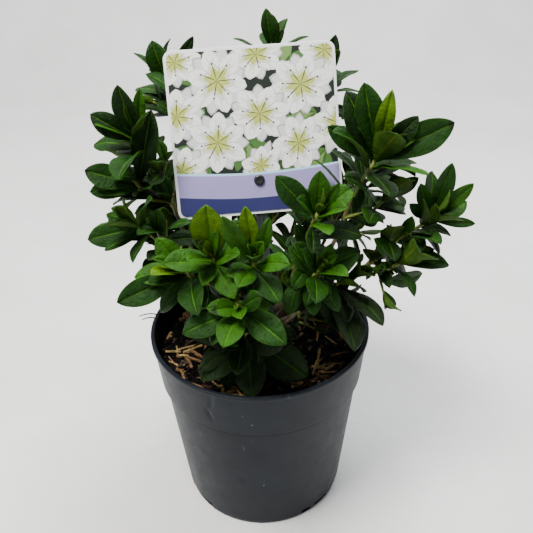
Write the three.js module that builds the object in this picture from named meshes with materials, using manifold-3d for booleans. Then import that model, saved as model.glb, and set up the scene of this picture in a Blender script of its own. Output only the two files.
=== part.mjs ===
// Azalea shrub growing in a round plastic nursery pot, with its picture card on a flat peg.
// Millimetres, +Z up, origin at the centre of the pot's flat underside, the plant's front towards -Y.
// A short trunk carries tapering boughs. Each bough ends where a mass of foliage begins: one stem that
// forks into shoots, with a rosette of leaves at the end of each, all fused into one solid.
import * as THREE from 'three';
import { mergeVertices } from 'three/addons/utils/BufferGeometryUtils.js';
import Module from 'manifold-3d';

const wasm = await Module();
wasm.setup();

const { Vector3 } = THREE;
const up = new Vector3(0, 0, 1);
const gap = 0.3; // running clearance between neighbouring solids

// ---- driving sizes ----
const pot = {
  height: 158, rimRadius: 85, lipHeight: 3.5, lipWidth: 1.2, lipRound: 0.8, collarHeight: 39,
  collarFootRadius: 80.5,
  bodyTopRadius: 78, shoulder: 2.2, footRadius: 67, footBevel: 3, wall: 1.8, floor: 2.5, sides: 48,
  drainHoles: 6, drainRadius: 5, drainCircle: 50,
};
const soil = { top: 142, mound: 3, flatRadius: 26 };
const trunk = {
  height: 27, flareRadius: 11.5, neckRadius: 8, headRadius: 7.2, flareHeight: 8, sides: 16, lean: 1.5,
};
const bough = { baseRadius: 2.2, tipRadius: 1.5, sides: 6, steps: 6, bow: 0.16 };
const twig = { baseRadius: 1.7, tipRadius: 1.4, sides: 3, steps: 3, beyond: 1.5, forkSpacing: 0.16 };
const leaf = { length: 46, widthShare: 0.5, thickShare: 0.034, fold: 0.16, sunk: 0.5 };
// A leaf that doesn't fit is tried again as [share of its length, degrees further round its twig].
const leafTries = [[1, 0], [0.95, 18], [0.95, -18], [0.85, 38], [0.85, -38], [0.7, 8], [0.7, -24], [0.6, 60]];
const rosette = { leaves: 9, depth: 12, goldenAngle: 137.5, outerTilt: 84, innerTilt: 14, innerShare: 0.5 };
const sideShoot = { leaves: 5, length: 24, leafShare: 0.74, starts: [0.42] };
const stemLeaves = { starts: [0.2, 0.5, 0.8], tilt: 62, leafShare: 0.84 };
const light = new Vector3(0, -0.3, 0.4); // the blades turn a little this way
const stemLength = 36; // from the end of a bough to its mass's rosettes
const leanFocus = 12; // height above the soil that the shoots lean away from
const card = {
  width: 119, height: 116, corner: 6, thickness: 0.9, lean: 22, yaw: 4.7, roll: 1.2,
  footX: 10, footY: -36, centreAlong: 175.5, pinDrop: 34,
};
const peg = { width: 8, thickness: 1.4, topAbovePin: 8, buried: 62, pointLength: 14 };
const pin = { headRadius: 3.9, headHeight: 2.2, shaftRadius: 2 };

// Each mass of foliage: its seed, the size of its leaves against the usual one, the height on the trunk
// where its bough starts, and its shoots. A shoot is the centre of its rosette, as azimuth in degrees, reach
// from the trunk's axis, and rise above the soil.
const masses = [
  {
    name: 'front', seed: 11, size: 0.96, start: 15,
    shoots: [[243, 62, 111], [227, 70, 99], [269, 62, 111], [262, 81, 90]],
  },
  { name: 'front_right', seed: 12, size: 0.88, start: 10, shoots: [[311, 60, 135], [308, 66, 97]] },
  { name: 'front_skirt', seed: 13, size: 1.12, start: 5, shoots: [[256, 46, 38]] },
  { name: 'right_skirt', seed: 14, size: 1.2, start: 5, shoots: [[336, 66, 72]] },
  { name: 'right_tall', seed: 15, size: 1.26, start: 19, shoots: [[0, 83, 153], [8, 94, 116]] },
  { name: 'right_outer', seed: 16, size: 0.94, start: 12, shoots: [[358, 124, 108], [348, 106, 84]] },
  { name: 'left_upper', seed: 17, size: 1, start: 17, shoots: [[165, 84, 162], [173, 84, 134]] },
  { name: 'left_lower', seed: 18, size: 1, start: 9, shoots: [[189, 82, 113]] },
  { name: 'back_left_tall', seed: 19, size: 1, start: 21, shoots: [[135, 88, 188]] },
  { name: 'top', seed: 20, size: 1, start: 25, bow: -0.12, shoots: [[79, 76, 208]] },
  { name: 'back_right_tall', seed: 21, size: 1, start: 17, shoots: [[53, 84, 184]] },
  { name: 'back', seed: 22, size: 1, start: 12, shoots: [[100, 112, 146], [80, 110, 92]] },
  { name: 'back_left', seed: 23, size: 1, start: 7, shoots: [[146, 104, 126], [134, 100, 78]] },
  { name: 'back_right', seed: 24, size: 1, start: 8, shoots: [[28, 106, 126], [44, 100, 78]] },
];

// ---- small helpers ----
const radians = THREE.MathUtils.degToRad;
const lerp = THREE.MathUtils.lerp;

function seededRandom(seed) {
  let state = Math.imul(seed, 2654435761) >>> 0;
  return () => {
    state = (Math.imul(state, 1664525) + 1013904223) >>> 0;
    return state / 4294967296;
  };
}

function polar(azimuth, reach, z) {
  return new Vector3(reach * Math.cos(radians(azimuth)), reach * Math.sin(radians(azimuth)), z);
}

// A closed three.js geometry as a solid, whichever way round its faces were wound.
function solidFrom(geometry) {
  const bare = geometry.index ? geometry.toNonIndexed() : geometry.clone();
  for (const name of Object.keys(bare.attributes)) if (name !== 'position') bare.deleteAttribute(name);
  const merged = mergeVertices(bare, 1e-4);
  const kept = [];
  for (let i = 0; i < merged.index.count; i += 3) {
    const [a, b, c] = [0, 1, 2].map((k) => merged.index.getX(i + k));
    if (a !== b && b !== c && a !== c) kept.push(a, b, c);
  }
  const build = (triVerts) => new wasm.Manifold(new wasm.Mesh({
    numProp: 3, vertProperties: merged.attributes.position.array, triVerts: new Uint32Array(triVerts),
  }));
  const made = build(kept);
  if (made.volume() >= 0) return made;
  for (let i = 0; i < kept.length; i += 3) [kept[i + 1], kept[i + 2]] = [kept[i + 2], kept[i + 1]];
  return build(kept);
}

// The largest closed body of a solid: scraps are dropped and sealed hollows are filled.
function mainBody(solid) {
  return solid.decompose().reduce((best, body) => (body.volume() > best.volume() ? body : best));
}

function meshFrom(name, solid, material) {
  const made = mainBody(solid).getMesh();
  const geometry = new THREE.BufferGeometry();
  geometry.setAttribute('position', new THREE.BufferAttribute(new Float32Array(made.vertProperties), 3));
  geometry.setIndex(new THREE.BufferAttribute(new Uint32Array(made.triVerts), 1));
  geometry.computeVertexNormals();
  const mesh = new THREE.Mesh(geometry, material);
  mesh.name = name;
  return mesh;
}

// A profile of [radius, height] pairs turned about the Z axis.
function turned(profile, sides) {
  const points = profile.map(([radius, height]) => new THREE.Vector2(radius, height));
  return solidFrom(new THREE.LatheGeometry(points, sides).rotateX(Math.PI / 2));
}

// Two directions square to a line that runs along direction.
function crossAxes(direction) {
  const helper = Math.abs(direction.z) < 0.9 ? up : new Vector3(1, 0, 0);
  const across = new Vector3().crossVectors(helper, direction).normalize();
  return [across, new Vector3().crossVectors(direction, across)];
}

// A limb that tapers from startRadius to endRadius, with a ring at each of the points along its axis.
function limb(points, startRadius, endRadius, sides) {
  const last = points.length - 1;
  const geometry = new THREE.CylinderGeometry(1, 1, 1, sides, last);
  const position = geometry.attributes.position;
  for (let i = 0; i < position.count; i++) {
    const along = position.getY(i) + 0.5;
    const ring = Math.round(along * last);
    const tangent = points[Math.min(ring + 1, last)].clone().sub(points[Math.max(ring - 1, 0)]).normalize();
    const [across, over] = crossAxes(tangent);
    const radius = lerp(startRadius, endRadius, along);
    const point = points[ring].clone()
      .addScaledVector(across, position.getX(i) * radius)
      .addScaledVector(over, position.getZ(i) * radius);
    position.setXYZ(i, point.x, point.y, point.z);
  }
  return solidFrom(geometry);
}

// ---- the pot and its filling ----
function potRadiusInside(z) {
  const collarFoot = pot.height - pot.collarHeight;
  if (z > collarFoot) {
    const outside = lerp(pot.collarFootRadius, pot.rimRadius, (z - collarFoot) / pot.collarHeight);
    return outside - pot.lipWidth - pot.wall;
  }
  return lerp(pot.footRadius, pot.bodyTopRadius, z / collarFoot) - pot.wall;
}

function potSolid() {
  const collarFoot = pot.height - pot.collarHeight;
  const lipFoot = pot.height - pot.lipHeight;
  const shell = turned([
    [0, 0], [pot.footRadius - pot.footBevel, 0], [pot.footRadius, pot.footBevel],
    [pot.bodyTopRadius, collarFoot - pot.shoulder], [pot.collarFootRadius, collarFoot],
    [pot.rimRadius - pot.lipWidth, lipFoot], [pot.rimRadius, lipFoot + pot.lipRound],
    [pot.rimRadius, pot.height - pot.lipRound], [pot.rimRadius - pot.lipRound, pot.height],
    [potRadiusInside(pot.height), pot.height],
    [potRadiusInside(collarFoot + 0.01), collarFoot + 0.01],
    [potRadiusInside(collarFoot - pot.shoulder), collarFoot - pot.shoulder],
    [potRadiusInside(pot.floor), pot.floor], [0, pot.floor],
  ], pot.sides);
  let drained = shell;
  for (let k = 0; k < pot.drainHoles; k++) {
    const place = polar((k + 0.5) * 360 / pot.drainHoles, pot.drainCircle, pot.floor / 2);
    const hole = new THREE.CylinderGeometry(pot.drainRadius, pot.drainRadius, pot.floor * 3, 12)
      .rotateX(Math.PI / 2).translate(place.x, place.y, place.z);
    drained = drained.subtract(solidFrom(hole));
  }
  return drained;
}

function soilSolid() {
  const wallGap = gap + 0.15; // a little more than the clearance, for the flats of the many-sided wall
  const collarFoot = pot.height - pot.collarHeight;
  const floor = pot.floor + gap;
  const filling = turned([
    [0, floor], [potRadiusInside(floor) - wallGap, floor],
    [potRadiusInside(collarFoot - pot.shoulder) - wallGap, collarFoot - pot.shoulder],
    [potRadiusInside(soil.top) - wallGap - 0.2, soil.top - soil.mound],
    [lerp(soil.flatRadius, pot.rimRadius, 0.5), soil.top - soil.mound * 0.3], [soil.flatRadius, soil.top],
    [0, soil.top],
  ], pot.sides);
  return filling.subtract(pegSolid(gap));
}

// ---- the picture card, its peg and its pin ----
function cardFrame() {
  const turn = new THREE.Matrix4().makeRotationZ(radians(card.yaw));
  const leanBack = new THREE.Matrix4().makeRotationX(radians(90 - card.lean));
  const roll = new THREE.Matrix4().makeRotationZ(radians(card.roll));
  const turnedFrame = turn.multiply(leanBack).multiply(roll);
  const rise = new Vector3(0, 1, 0).applyMatrix4(turnedFrame);
  const foot = new Vector3(card.footX, card.footY, soil.top);
  return turnedFrame.setPosition(foot.addScaledVector(rise, card.centreAlong));
}

// In the card's own frame X runs across it, Y up it, and Z towards whoever reads it.
function cardSolid() {
  const [w, h, r] = [card.width / 2, card.height / 2, card.corner];
  const outline = new THREE.Shape();
  outline.absarc(w - r, h - r, r, 0, Math.PI / 2);
  outline.absarc(-w + r, h - r, r, Math.PI / 2, Math.PI);
  outline.absarc(-w + r, -h + r, r, Math.PI, Math.PI * 1.5);
  outline.absarc(w - r, -h + r, r, Math.PI * 1.5, Math.PI * 2);
  outline.closePath();
  const settings = { depth: card.thickness, bevelEnabled: false, curveSegments: 5 };
  const plate = solidFrom(new THREE.ExtrudeGeometry(outline, settings));
  return plate.subtract(pinShaft(pin.shaftRadius + gap, 16)).transform(cardFrame().elements);
}

function pinShaft(radius, sides) {
  const reach = card.thickness + peg.thickness + 4 * gap;
  const shaft = new THREE.CylinderGeometry(radius, radius, reach * 2, sides)
    .rotateX(Math.PI / 2).translate(0, -card.pinDrop, 0);
  return solidFrom(shaft);
}

function pinSolid() {
  const head = new THREE.CylinderGeometry(pin.headRadius, pin.headRadius * 0.6, pin.headHeight, 20)
    .rotateX(-Math.PI / 2).translate(0, -card.pinDrop, card.thickness + gap + pin.headHeight / 2);
  const length = card.thickness + gap + peg.thickness + 3 * gap;
  const shaft = new THREE.CylinderGeometry(pin.shaftRadius, pin.shaftRadius, length, 12)
    .rotateX(Math.PI / 2).translate(0, -card.pinDrop, card.thickness + gap + 0.2 - length / 2);
  return solidFrom(head).add(solidFrom(shaft)).transform(cardFrame().elements);
}

// The peg stands behind the card, from above the pin to its point in the filling. grown widens it all round.
function pegSolid(grown = 0) {
  const [half, top] = [peg.width / 2 + grown, -card.pinDrop + peg.topAbovePin + grown];
  const point = -card.centreAlong - peg.buried - grown * 4;
  const outline = new THREE.Shape([
    new THREE.Vector2(-half, top), new THREE.Vector2(-half, point + peg.pointLength),
    new THREE.Vector2(0, point),
    new THREE.Vector2(half, point + peg.pointLength), new THREE.Vector2(half, top),
  ]);
  const blade = new THREE.ExtrudeGeometry(outline, { depth: peg.thickness + 2 * grown, bevelEnabled: false })
    .translate(0, 0, -gap - peg.thickness - grown);
  const solid = grown ? solidFrom(blade) : solidFrom(blade).subtract(pinShaft(pin.shaftRadius + gap, 16));
  return solid.transform(cardFrame().elements);
}

// ---- the trunk and boughs ----
function trunkSolid(grown = 0) {
  const profile = [
    [0, gap - grown], [trunk.flareRadius + grown, gap - grown],
    [lerp(trunk.flareRadius, trunk.neckRadius, 0.7) + grown, trunk.flareHeight * 0.45],
    [trunk.neckRadius + grown, trunk.flareHeight], [trunk.headRadius + grown, trunk.height - 4],
    [trunk.headRadius * 0.72 + grown, trunk.height - 1 + grown], [0, trunk.height + grown],
  ];
  const leaning = new THREE.Matrix4().makeShear(0, 0, 0, 0, trunk.lean / trunk.height, 0);
  return turned(profile, trunk.sides).transform(leaning.setPosition(0, 0, soil.top).elements);
}

function shootTips(mass) {
  return mass.shoots.map(([azimuth, reach, rise]) => polar(azimuth, reach, soil.top + rise));
}

// The way a shoot points at its tip: up, and away from the foot of the plant.
function shootDirection(tip) {
  return tip.clone().sub(new Vector3(0, 0, soil.top + leanFocus)).normalize();
}

// Where a mass's stem starts: back from the middle of its rosettes, along their mean direction.
function massFork(mass) {
  const tips = shootTips(mass);
  const middle = tips.reduce((sum, tip) => sum.add(tip), new Vector3()).multiplyScalar(1 / tips.length);
  const lowest = Math.min(...tips.map((tip) => tip.z - soil.top));
  const back = Math.min(stemLength + (tips.length > 1 ? 12 : 0), lowest * 0.6);
  return middle.addScaledVector(shootDirection(middle), -back);
}

// A bough starts inside the trunk and bows outwards on its way to its mass; a leader's bow is the other way.
function boughCurve(mass) {
  const fork = massFork(mass);
  const start = new Vector3(0, 0, soil.top + mass.start);
  const bow = start.distanceTo(fork) * (mass.bow ?? bough.bow);
  const outwards = new Vector3(fork.x, fork.y, 0).normalize();
  const middle = start.clone().lerp(fork, 0.5).addScaledVector(outwards, bow).addScaledVector(up, -bow * 0.5);
  return new THREE.QuadraticBezierCurve3(start, middle, fork);
}

function boughSolid(mass) {
  const points = boughCurve(mass).getPoints(bough.steps);
  return limb(points, bough.baseRadius, bough.tipRadius, bough.sides).subtract(trunkSolid(gap));
}

// ---- the space that each mass keeps to ----
const limbPoints = masses.flatMap((mass) => boughCurve(mass).getSpacedPoints(48));
const anchors = masses.map((mass) => (
  shootTips(mass).flatMap((tip) => [tip, tip.clone().lerp(massFork(mass), 0.6)])));
const cardInverse = cardFrame().invert();

function nearest(points, point) {
  return Math.min(...points.map((other) => other.distanceTo(point)));
}

// True where every point is nearer to this mass's shoots than to any other's.
function insideSpace(index, points) {
  const margin = 0.9;
  return points.every((point) => {
    const own = nearest(anchors[index], point) + margin;
    return anchors.every((others, k) => k === index || nearest(others, point) > own);
  });
}

// True where no bough passes through or close to the blade of a leaf.
function clearOfLimbs({ root, direction, normal, length }) {
  const clearance = bough.baseRadius + 1;
  const across = new Vector3().crossVectors(direction, normal);
  return limbPoints.every((point) => {
    const offset = point.clone().sub(root);
    const along = offset.dot(direction);
    return along < length * 0.14 || along > length + clearance
      || Math.abs(offset.dot(across)) > length * leaf.widthShare / 2 + clearance
      || Math.abs(offset.dot(normal)) > clearance + length * 0.04;
  });
}

// The card and the peg under it: what spans their outline has to lie wholly before or behind them.
function clearOfCard(points) {
  const clearance = 2.2;
  const local = points.map((point) => point.clone().applyMatrix4(cardInverse));
  const spans = (low, high, axis) => Math.min(...local.map((p) => p[axis])) < high + clearance
    && Math.max(...local.map((p) => p[axis])) > low - clearance;
  const before = Math.min(...local.map((p) => p.z)) > card.thickness + clearance;
  const behind = Math.max(...local.map((p) => p.z)) < -peg.thickness - clearance;
  const [half, rise] = [card.width / 2, card.height / 2];
  const overCard = spans(-half, half, 'x') && spans(-rise, rise, 'y');
  const overPeg = spans(-peg.width / 2, peg.width / 2, 'x') && spans(-card.centreAlong, -rise, 'y');
  return before || behind || !(overCard || overPeg);
}

// Low leaves stay over the filling inside the rim, or clear of the pot outside it.
function clearOfPot(points) {
  const clearance = 1.5;
  const lowest = Math.min(...points.map((p) => p.z));
  if (lowest > pot.height + clearance) return true;
  const reaches = points.map((p) => Math.hypot(p.x, p.y));
  const within = Math.max(...reaches) < potRadiusInside(soil.top) - clearance
    && lowest > soil.top + clearance;
  return within || Math.min(...reaches) > pot.rimRadius + clearance;
}

function fits(index, points) {
  return insideSpace(index, points) && clearOfCard(points) && clearOfPot(points);
}

// ---- twigs and leaves ----
// The leaf's outline as [share of length, share of half width], on one side, from its root to its tip.
const leafOutline = [[0, 0], [0.3, 0.66], [0.68, 0.98], [1, 0]];

// A leaf's place: root, the way it points, its upper side, its length, and how far its tip curls under.
function leafPoints({ root, direction, normal, length, curl }) {
  const across = new Vector3().crossVectors(direction, normal).normalize();
  const halfWidth = length * leaf.widthShare / 2;
  const at = (along, side, lift) => root.clone()
    .addScaledVector(direction, along * length - (along ? 0 : leaf.sunk))
    .addScaledVector(across, side * halfWidth)
    .addScaledVector(normal, (lift - curl * along * along) * length + Math.abs(side) * halfWidth * leaf.fold);
  return {
    left: leafOutline.slice(1, 3).map(([along, side]) => at(along, side, 0)),
    right: leafOutline.slice(1, 3).map(([along, side]) => at(along, -side, 0)),
    root: at(0, 0, 0), tip: at(1, 0, 0),
    over: at(0.45, 0, leaf.thickShare / 2), under: at(0.45, 0, -leaf.thickShare / 2),
  };
}

// True where a segment passes through a triangle.
function pierces(from, to, [p, q, r]) {
  const volume = (a, b, c, d) => b.clone().sub(a).cross(c.clone().sub(a)).dot(d.clone().sub(a));
  if (volume(p, q, r, from) > 0 === volume(p, q, r, to) > 0) return false;
  const sides = [volume(from, to, p, q) > 0, volume(from, to, q, r) > 0, volume(from, to, r, p) > 0];
  return sides[0] === sides[1] && sides[1] === sides[2];
}

// True where two blades cut through each other. Each blade counts from a little way past its foot.
function bladesCross(one, other) {
  const fan = ({ root, over, left, right, tip }) => {
    const ring = [root.clone().lerp(over, 0.4), left[0], left[1], tip, right[1], right[0]];
    return { ring, faces: ring.map((point, k) => [point, ring[(k + 1) % 6], over]) };
  };
  const [a, b] = [fan(one), fan(other)];
  const cuts = (edges, faces) => edges.some((point, k) => (
    faces.some((face) => pierces(point, edges[(k + 1) % 6], face))));
  return cuts(a.ring, b.faces) || cuts(b.ring, a.faces);
}

function leafSolid(points) {
  const ring = [points.root, points.left[0], points.left[1], points.tip, points.right[1], points.right[0]];
  const position = [...ring, points.over, points.under].flatMap((p) => [p.x, p.y, p.z]);
  const index = ring.flatMap((_, k) => [k, (k + 1) % 6, 6, (k + 1) % 6, k, 7]);
  const geometry = new THREE.BufferGeometry();
  geometry.setAttribute('position', new THREE.Float32BufferAttribute(position, 3));
  return solidFrom(geometry.setIndex(index));
}

// Leaves in a golden-angle spiral over the end of a shoot: large and spread below, small and upright above.
function rosetteLeaves(random, tip, axis, count, size) {
  const [across, over] = crossAxes(axis);
  const turn = random() * 360;
  const made = [];
  for (let k = 0; k < count; k++) {
    const age = 1 - k / (count - 1);
    const around = radians(turn + k * rosette.goldenAngle + (random() - 0.5) * 24);
    const tilt = radians(lerp(rosette.innerTilt, rosette.outerTilt, age) + (random() - 0.5) * 18);
    const grownShare = lerp(rosette.innerShare, 1, Math.sqrt(age)) * lerp(0.88, 1.1, random());
    const curl = lerp(0.02, 0.16, age) * lerp(0.5, 1.5, random());
    const outwards = across.clone().multiplyScalar(Math.cos(around)).addScaledVector(over, Math.sin(around));
    const direction = axis.clone().multiplyScalar(Math.cos(tilt)).addScaledVector(outwards, Math.sin(tilt));
    const facing = axis.clone().multiplyScalar(Math.sin(tilt)).addScaledVector(outwards, -Math.cos(tilt))
      .add(light);
    const normal = facing.addScaledVector(direction, -facing.dot(direction)).normalize();
    const root = tip.clone().addScaledVector(axis, -age * rosette.depth);
    made.push({ root, stem: axis, direction, normal, length: leaf.length * size * grownShare, curl });
  }
  return made;
}

// The axis of a shoot: it leaves its parent along leaving, and ends along axis, where its rosette sits.
function shootPath(start, leaving, tip, axis) {
  const collar = tip.clone().addScaledVector(axis, -rosette.depth - 1);
  const bend = start.distanceTo(collar) * 0.35;
  const first = start.clone().addScaledVector(leaving, bend);
  const second = collar.clone().addScaledVector(axis, -bend);
  const curve = new THREE.CubicBezierCurve3(start, first, second, collar);
  return [...curve.getPoints(twig.steps), tip.clone().addScaledVector(axis, twig.beyond)];
}

// The point on a shoot's axis at a share of the way to its rosette, and the way the shoot runs there.
function onShoot(path, share) {
  const ring = Math.min(Math.floor(share * twig.steps), twig.steps - 1);
  const [from, to] = [path[ring], path[ring + 1]];
  return { point: from.clone().lerp(to, share * twig.steps - ring), way: to.clone().sub(from).normalize() };
}

// A direction that turns off from way by tilt degrees, to a seeded side, and a little up.
function turnedOff(random, way, tilt) {
  const [across, over] = crossAxes(way);
  const around = random() * 2 * Math.PI;
  return way.clone().multiplyScalar(Math.cos(radians(tilt)))
    .addScaledVector(across, Math.cos(around) * Math.sin(radians(tilt)))
    .addScaledVector(over, Math.sin(around) * Math.sin(radians(tilt)))
    .addScaledVector(up, 0.2).normalize();
}

// Every twig and leaf of one mass, by a seeded rule. The leaves and side shoots that don't fit are left out.
function growMass(mass, index) {
  const random = seededRandom(mass.seed);
  const boughEnd = boughCurve(mass).getTangent(1);
  const stemStart = massFork(mass).addScaledVector(boughEnd, gap);
  const twigs = [];
  const leaves = [];
  const tryLeaf = (wanted) => {
    for (const [share, degrees] of leafTries) {
      const turn = (way) => way.clone().applyAxisAngle(wanted.stem, radians(degrees));
      const [direction, normal] = [turn(wanted.direction), turn(wanted.normal)];
      const place = { ...wanted, length: wanted.length * share, direction, normal };
      const points = leafPoints(place);
      const tested = [...points.left, ...points.right, points.tip, points.over,
        points.root.clone().lerp(points.over, 0.5), points.over.clone().lerp(points.tip, 0.5)];
      if (!fits(index, tested) || !clearOfLimbs(place)) continue;
      if (leaves.some((other) => bladesCross(points, other))) continue;
      leaves.push(points);
      return;
    }
  };
  const grow = (path, startRadius, endRadius) => twigs.push({ path, startRadius, endRadius });
  shootTips(mass).forEach((tip, k) => {
    const axis = shootDirection(tip);
    const fork = k ? onShoot(twigs[0].path, k * twig.forkSpacing) : { point: stemStart, way: boughEnd };
    const path = shootPath(fork.point, fork.way, tip, axis);
    grow(path, k ? twig.tipRadius : twig.baseRadius, twig.tipRadius);
    rosetteLeaves(random, tip, axis, rosette.leaves, mass.size).forEach(tryLeaf);
    for (const share of stemLeaves.starts) {
      const { point: root, way: stem } = onShoot(path, share);
      const direction = turnedOff(random, stem, stemLeaves.tilt);
      const normal = up.clone().addScaledVector(direction, -direction.z).normalize();
      const length = leaf.length * mass.size * stemLeaves.leafShare * lerp(0.8, 1.1, random());
      tryLeaf({ root, stem, direction, normal, length, curl: 0.1 });
    }
    for (const share of sideShoot.starts) {
      const { point: node, way } = onShoot(path, share);
      const sideAxis = turnedOff(random, way, 48);
      const end = node.clone().addScaledVector(sideAxis, sideShoot.length * lerp(0.8, 1.25, random()));
      const size = mass.size * sideShoot.leafShare;
      const sprouts = rosetteLeaves(random, end, sideAxis, sideShoot.leaves, size);
      if (!fits(index, [node.clone().lerp(end, 0.5), end])) continue;
      grow([node, end.clone().addScaledVector(sideAxis, twig.beyond)], twig.tipRadius, twig.tipRadius * 0.9);
      sprouts.forEach(tryLeaf);
    }
  });
  return { twigs, leaves };
}

function massSolid({ twigs, leaves }) {
  const stems = twigs.map((made) => limb(made.path, made.startRadius, made.endRadius, twig.sides));
  return [...stems, ...leaves.map(leafSolid)].reduce((whole, piece) => whole.add(piece));
}

// ---- materials and assembly ----
const paint = (color, roughness) => new THREE.MeshStandardMaterial({ color, roughness, metalness: 0 });
const materials = {
  pot: paint(0x34383c, 0.5),
  soil: paint(0x1c1512, 0.95),
  bark: paint(0x5e5a2c, 0.8),
  foliage: paint(0x2c6a16, 0.45),
  card: paint(0xe9e7ea, 0.3),
  peg: paint(0x6a7377, 0.4),
  pin: paint(0x15181a, 0.35),
};

const plant = new THREE.Group();
plant.add(meshFrom('pot', potSolid(), materials.pot));
plant.add(meshFrom('soil', soilSolid(), materials.soil));
plant.add(meshFrom('trunk', trunkSolid(), materials.bark));
plant.add(meshFrom('label_card', cardSolid(), materials.card));
plant.add(meshFrom('label_peg', pegSolid(), materials.peg));
plant.add(meshFrom('label_pin', pinSolid(), materials.pin));
masses.forEach((mass, index) => {
  plant.add(meshFrom(`bough_${mass.name}`, boughSolid(mass), materials.bark));
  plant.add(meshFrom(`foliage_${mass.name}`, massSolid(growMass(mass, index)), materials.foliage));
});

export default plant;
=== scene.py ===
# Azalea shrub in its nursery pot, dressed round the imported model.
# The growth rule works in millimetres, as the plant's sizes are; Blender's objects are in metres.
import math

import bpy
import numpy as np
from mathutils import Matrix, Vector, noise


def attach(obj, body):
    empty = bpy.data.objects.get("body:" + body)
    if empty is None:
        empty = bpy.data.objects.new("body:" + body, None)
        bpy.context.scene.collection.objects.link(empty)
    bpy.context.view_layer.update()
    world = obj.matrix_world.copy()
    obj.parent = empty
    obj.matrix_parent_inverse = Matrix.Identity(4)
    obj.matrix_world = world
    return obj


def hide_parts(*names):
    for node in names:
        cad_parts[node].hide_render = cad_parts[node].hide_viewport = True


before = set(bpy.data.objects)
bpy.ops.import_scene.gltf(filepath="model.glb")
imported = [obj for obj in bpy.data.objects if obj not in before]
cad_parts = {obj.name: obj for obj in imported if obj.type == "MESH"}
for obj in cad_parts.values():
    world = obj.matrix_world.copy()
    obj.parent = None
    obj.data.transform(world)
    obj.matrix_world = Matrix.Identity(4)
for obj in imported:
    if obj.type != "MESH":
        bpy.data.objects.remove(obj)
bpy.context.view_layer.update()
mm = 0.001
print("frame loaded:", len(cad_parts), "nodes")

camera = {"place": (0.0064, -0.414, 0.474), "tilt": 57.5, "roll": -1.4, "sensor": 36.0, "lens": 44.58}


def makeCamera():
    data = bpy.data.cameras.new("camera")
    data.sensor_width = camera["sensor"]
    data.lens = camera["lens"]
    obj = bpy.data.objects.new("camera", data)
    tilt = Matrix.Rotation(math.radians(camera["tilt"]), 4, "X")
    roll = Matrix.Rotation(math.radians(camera["roll"]), 4, "Z")
    obj.matrix_world = Matrix.Translation(camera["place"]) @ tilt @ roll
    bpy.context.scene.collection.objects.link(obj)
    bpy.context.scene.camera = obj


makeCamera()


# Small helpers
def lerp(low, high, share):
    return low + (high - low) * share


def unit(v):
    return v / np.linalg.norm(v)


def rotation(axis, degrees):
    return np.array(Matrix.Rotation(math.radians(degrees), 3, Vector(axis)))


def seededRandom(seed):
    state = (seed * 2654435761) & 0xFFFFFFFF

    def draw():
        nonlocal state
        state = (state * 1664525 + 1013904223) & 0xFFFFFFFF
        return state / 4294967296

    return draw


def meshObject(name, verts, faces, materials, slots=None, smooth=True):
    mesh = bpy.data.meshes.new(name)
    mesh.from_pydata((np.asarray(verts) * mm).tolist(), [], [list(map(int, f)) for f in faces])
    for material in materials:
        mesh.materials.append(material)
    if slots is not None:
        mesh.polygons.foreach_set("material_index", np.asarray(slots, dtype=np.int32))
    mesh.polygons.foreach_set("use_smooth", np.full(len(mesh.polygons), smooth))
    mesh.update()
    obj = bpy.data.objects.new(name, mesh)
    bpy.context.scene.collection.objects.link(obj)
    return obj


# The parts of one piece, gathered before its mesh is made
class Builder:
    def __init__(self):
        self.verts, self.faces, self.slots, self.count = [], [], [], 0

    def add(self, verts, faces, slots):
        self.verts.append(np.asarray(verts))
        self.faces.extend([[i + self.count for i in face] for face in faces])
        self.slots.extend(slots if isinstance(slots, list) else [slots] * len(faces))
        self.count += len(verts)

    def make(self, name, materials, smooth=True):
        return meshObject(name, np.concatenate(self.verts), self.faces, materials, self.slots, smooth)


def ringFaces(count, rings, first=0, flipped=False):
    # the quads between rings of count points, which follow one another from the point at first
    faces = []
    for k in range(rings - 1):
        a, b = first + k * count, first + (k + 1) * count
        for j in range(count):
            i = (j + 1) % count
            faces.append([a + j, b + j, b + i, a + i] if flipped else [a + j, a + i, b + i, b + j])
    return faces


def tube(points, radii, sides):
    # a closed tube along points, its rings carried along without twist
    points = np.asarray(points)
    tangents = np.gradient(points, axis=0)
    tangents /= np.linalg.norm(tangents, axis=1)[:, None]
    side = np.cross(tangents[0], (0, 0, 1) if abs(tangents[0][2]) < 0.9 else (1, 0, 0))
    angles = np.arange(sides) * 2 * math.pi / sides
    verts = []
    for point, tangent, radius in zip(points, tangents, radii):
        side = unit(side - tangent * side.dot(tangent))
        other = np.cross(tangent, side)
        verts.append(point + radius * (np.cos(angles)[:, None] * side + np.sin(angles)[:, None] * other))
    last = (len(points) - 1) * sides
    ends = [list(range(sides))[::-1], [last + k for k in range(sides)]]
    return np.concatenate(verts), ringFaces(sides, len(points)) + ends


# Effects shared by the materials
def nodeGroup(name, inputs, outputs):
    group = bpy.data.node_groups.new(name, "ShaderNodeTree")
    for label, kind, value in inputs:
        socket = group.interface.new_socket(label, in_out="INPUT", socket_type=kind)
        socket.default_value = value
    for label, kind in outputs:
        group.interface.new_socket(label, in_out="OUTPUT", socket_type=kind)
    return group, group.nodes.new("NodeGroupInput"), group.nodes.new("NodeGroupOutput")


def addNode(tree, kind, inputs=None, **settings):
    node = tree.nodes.new(kind)
    for key, value in settings.items():
        setattr(node, key, value)
    for key, value in (inputs or {}).items():
        if isinstance(value, bpy.types.NodeSocket):
            tree.links.new(value, node.inputs[key])
        else:
            node.inputs[key].default_value = value
    return node


def mathNode(tree, operation, *values):
    return addNode(tree, "ShaderNodeMath", dict(enumerate(values)), operation=operation).outputs[0]


def mixColors(tree, factor, first, second):
    node = addNode(tree, "ShaderNodeMix", {0: factor, 6: first, 7: second}, data_type="RGBA")
    return node.outputs[2]


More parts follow.
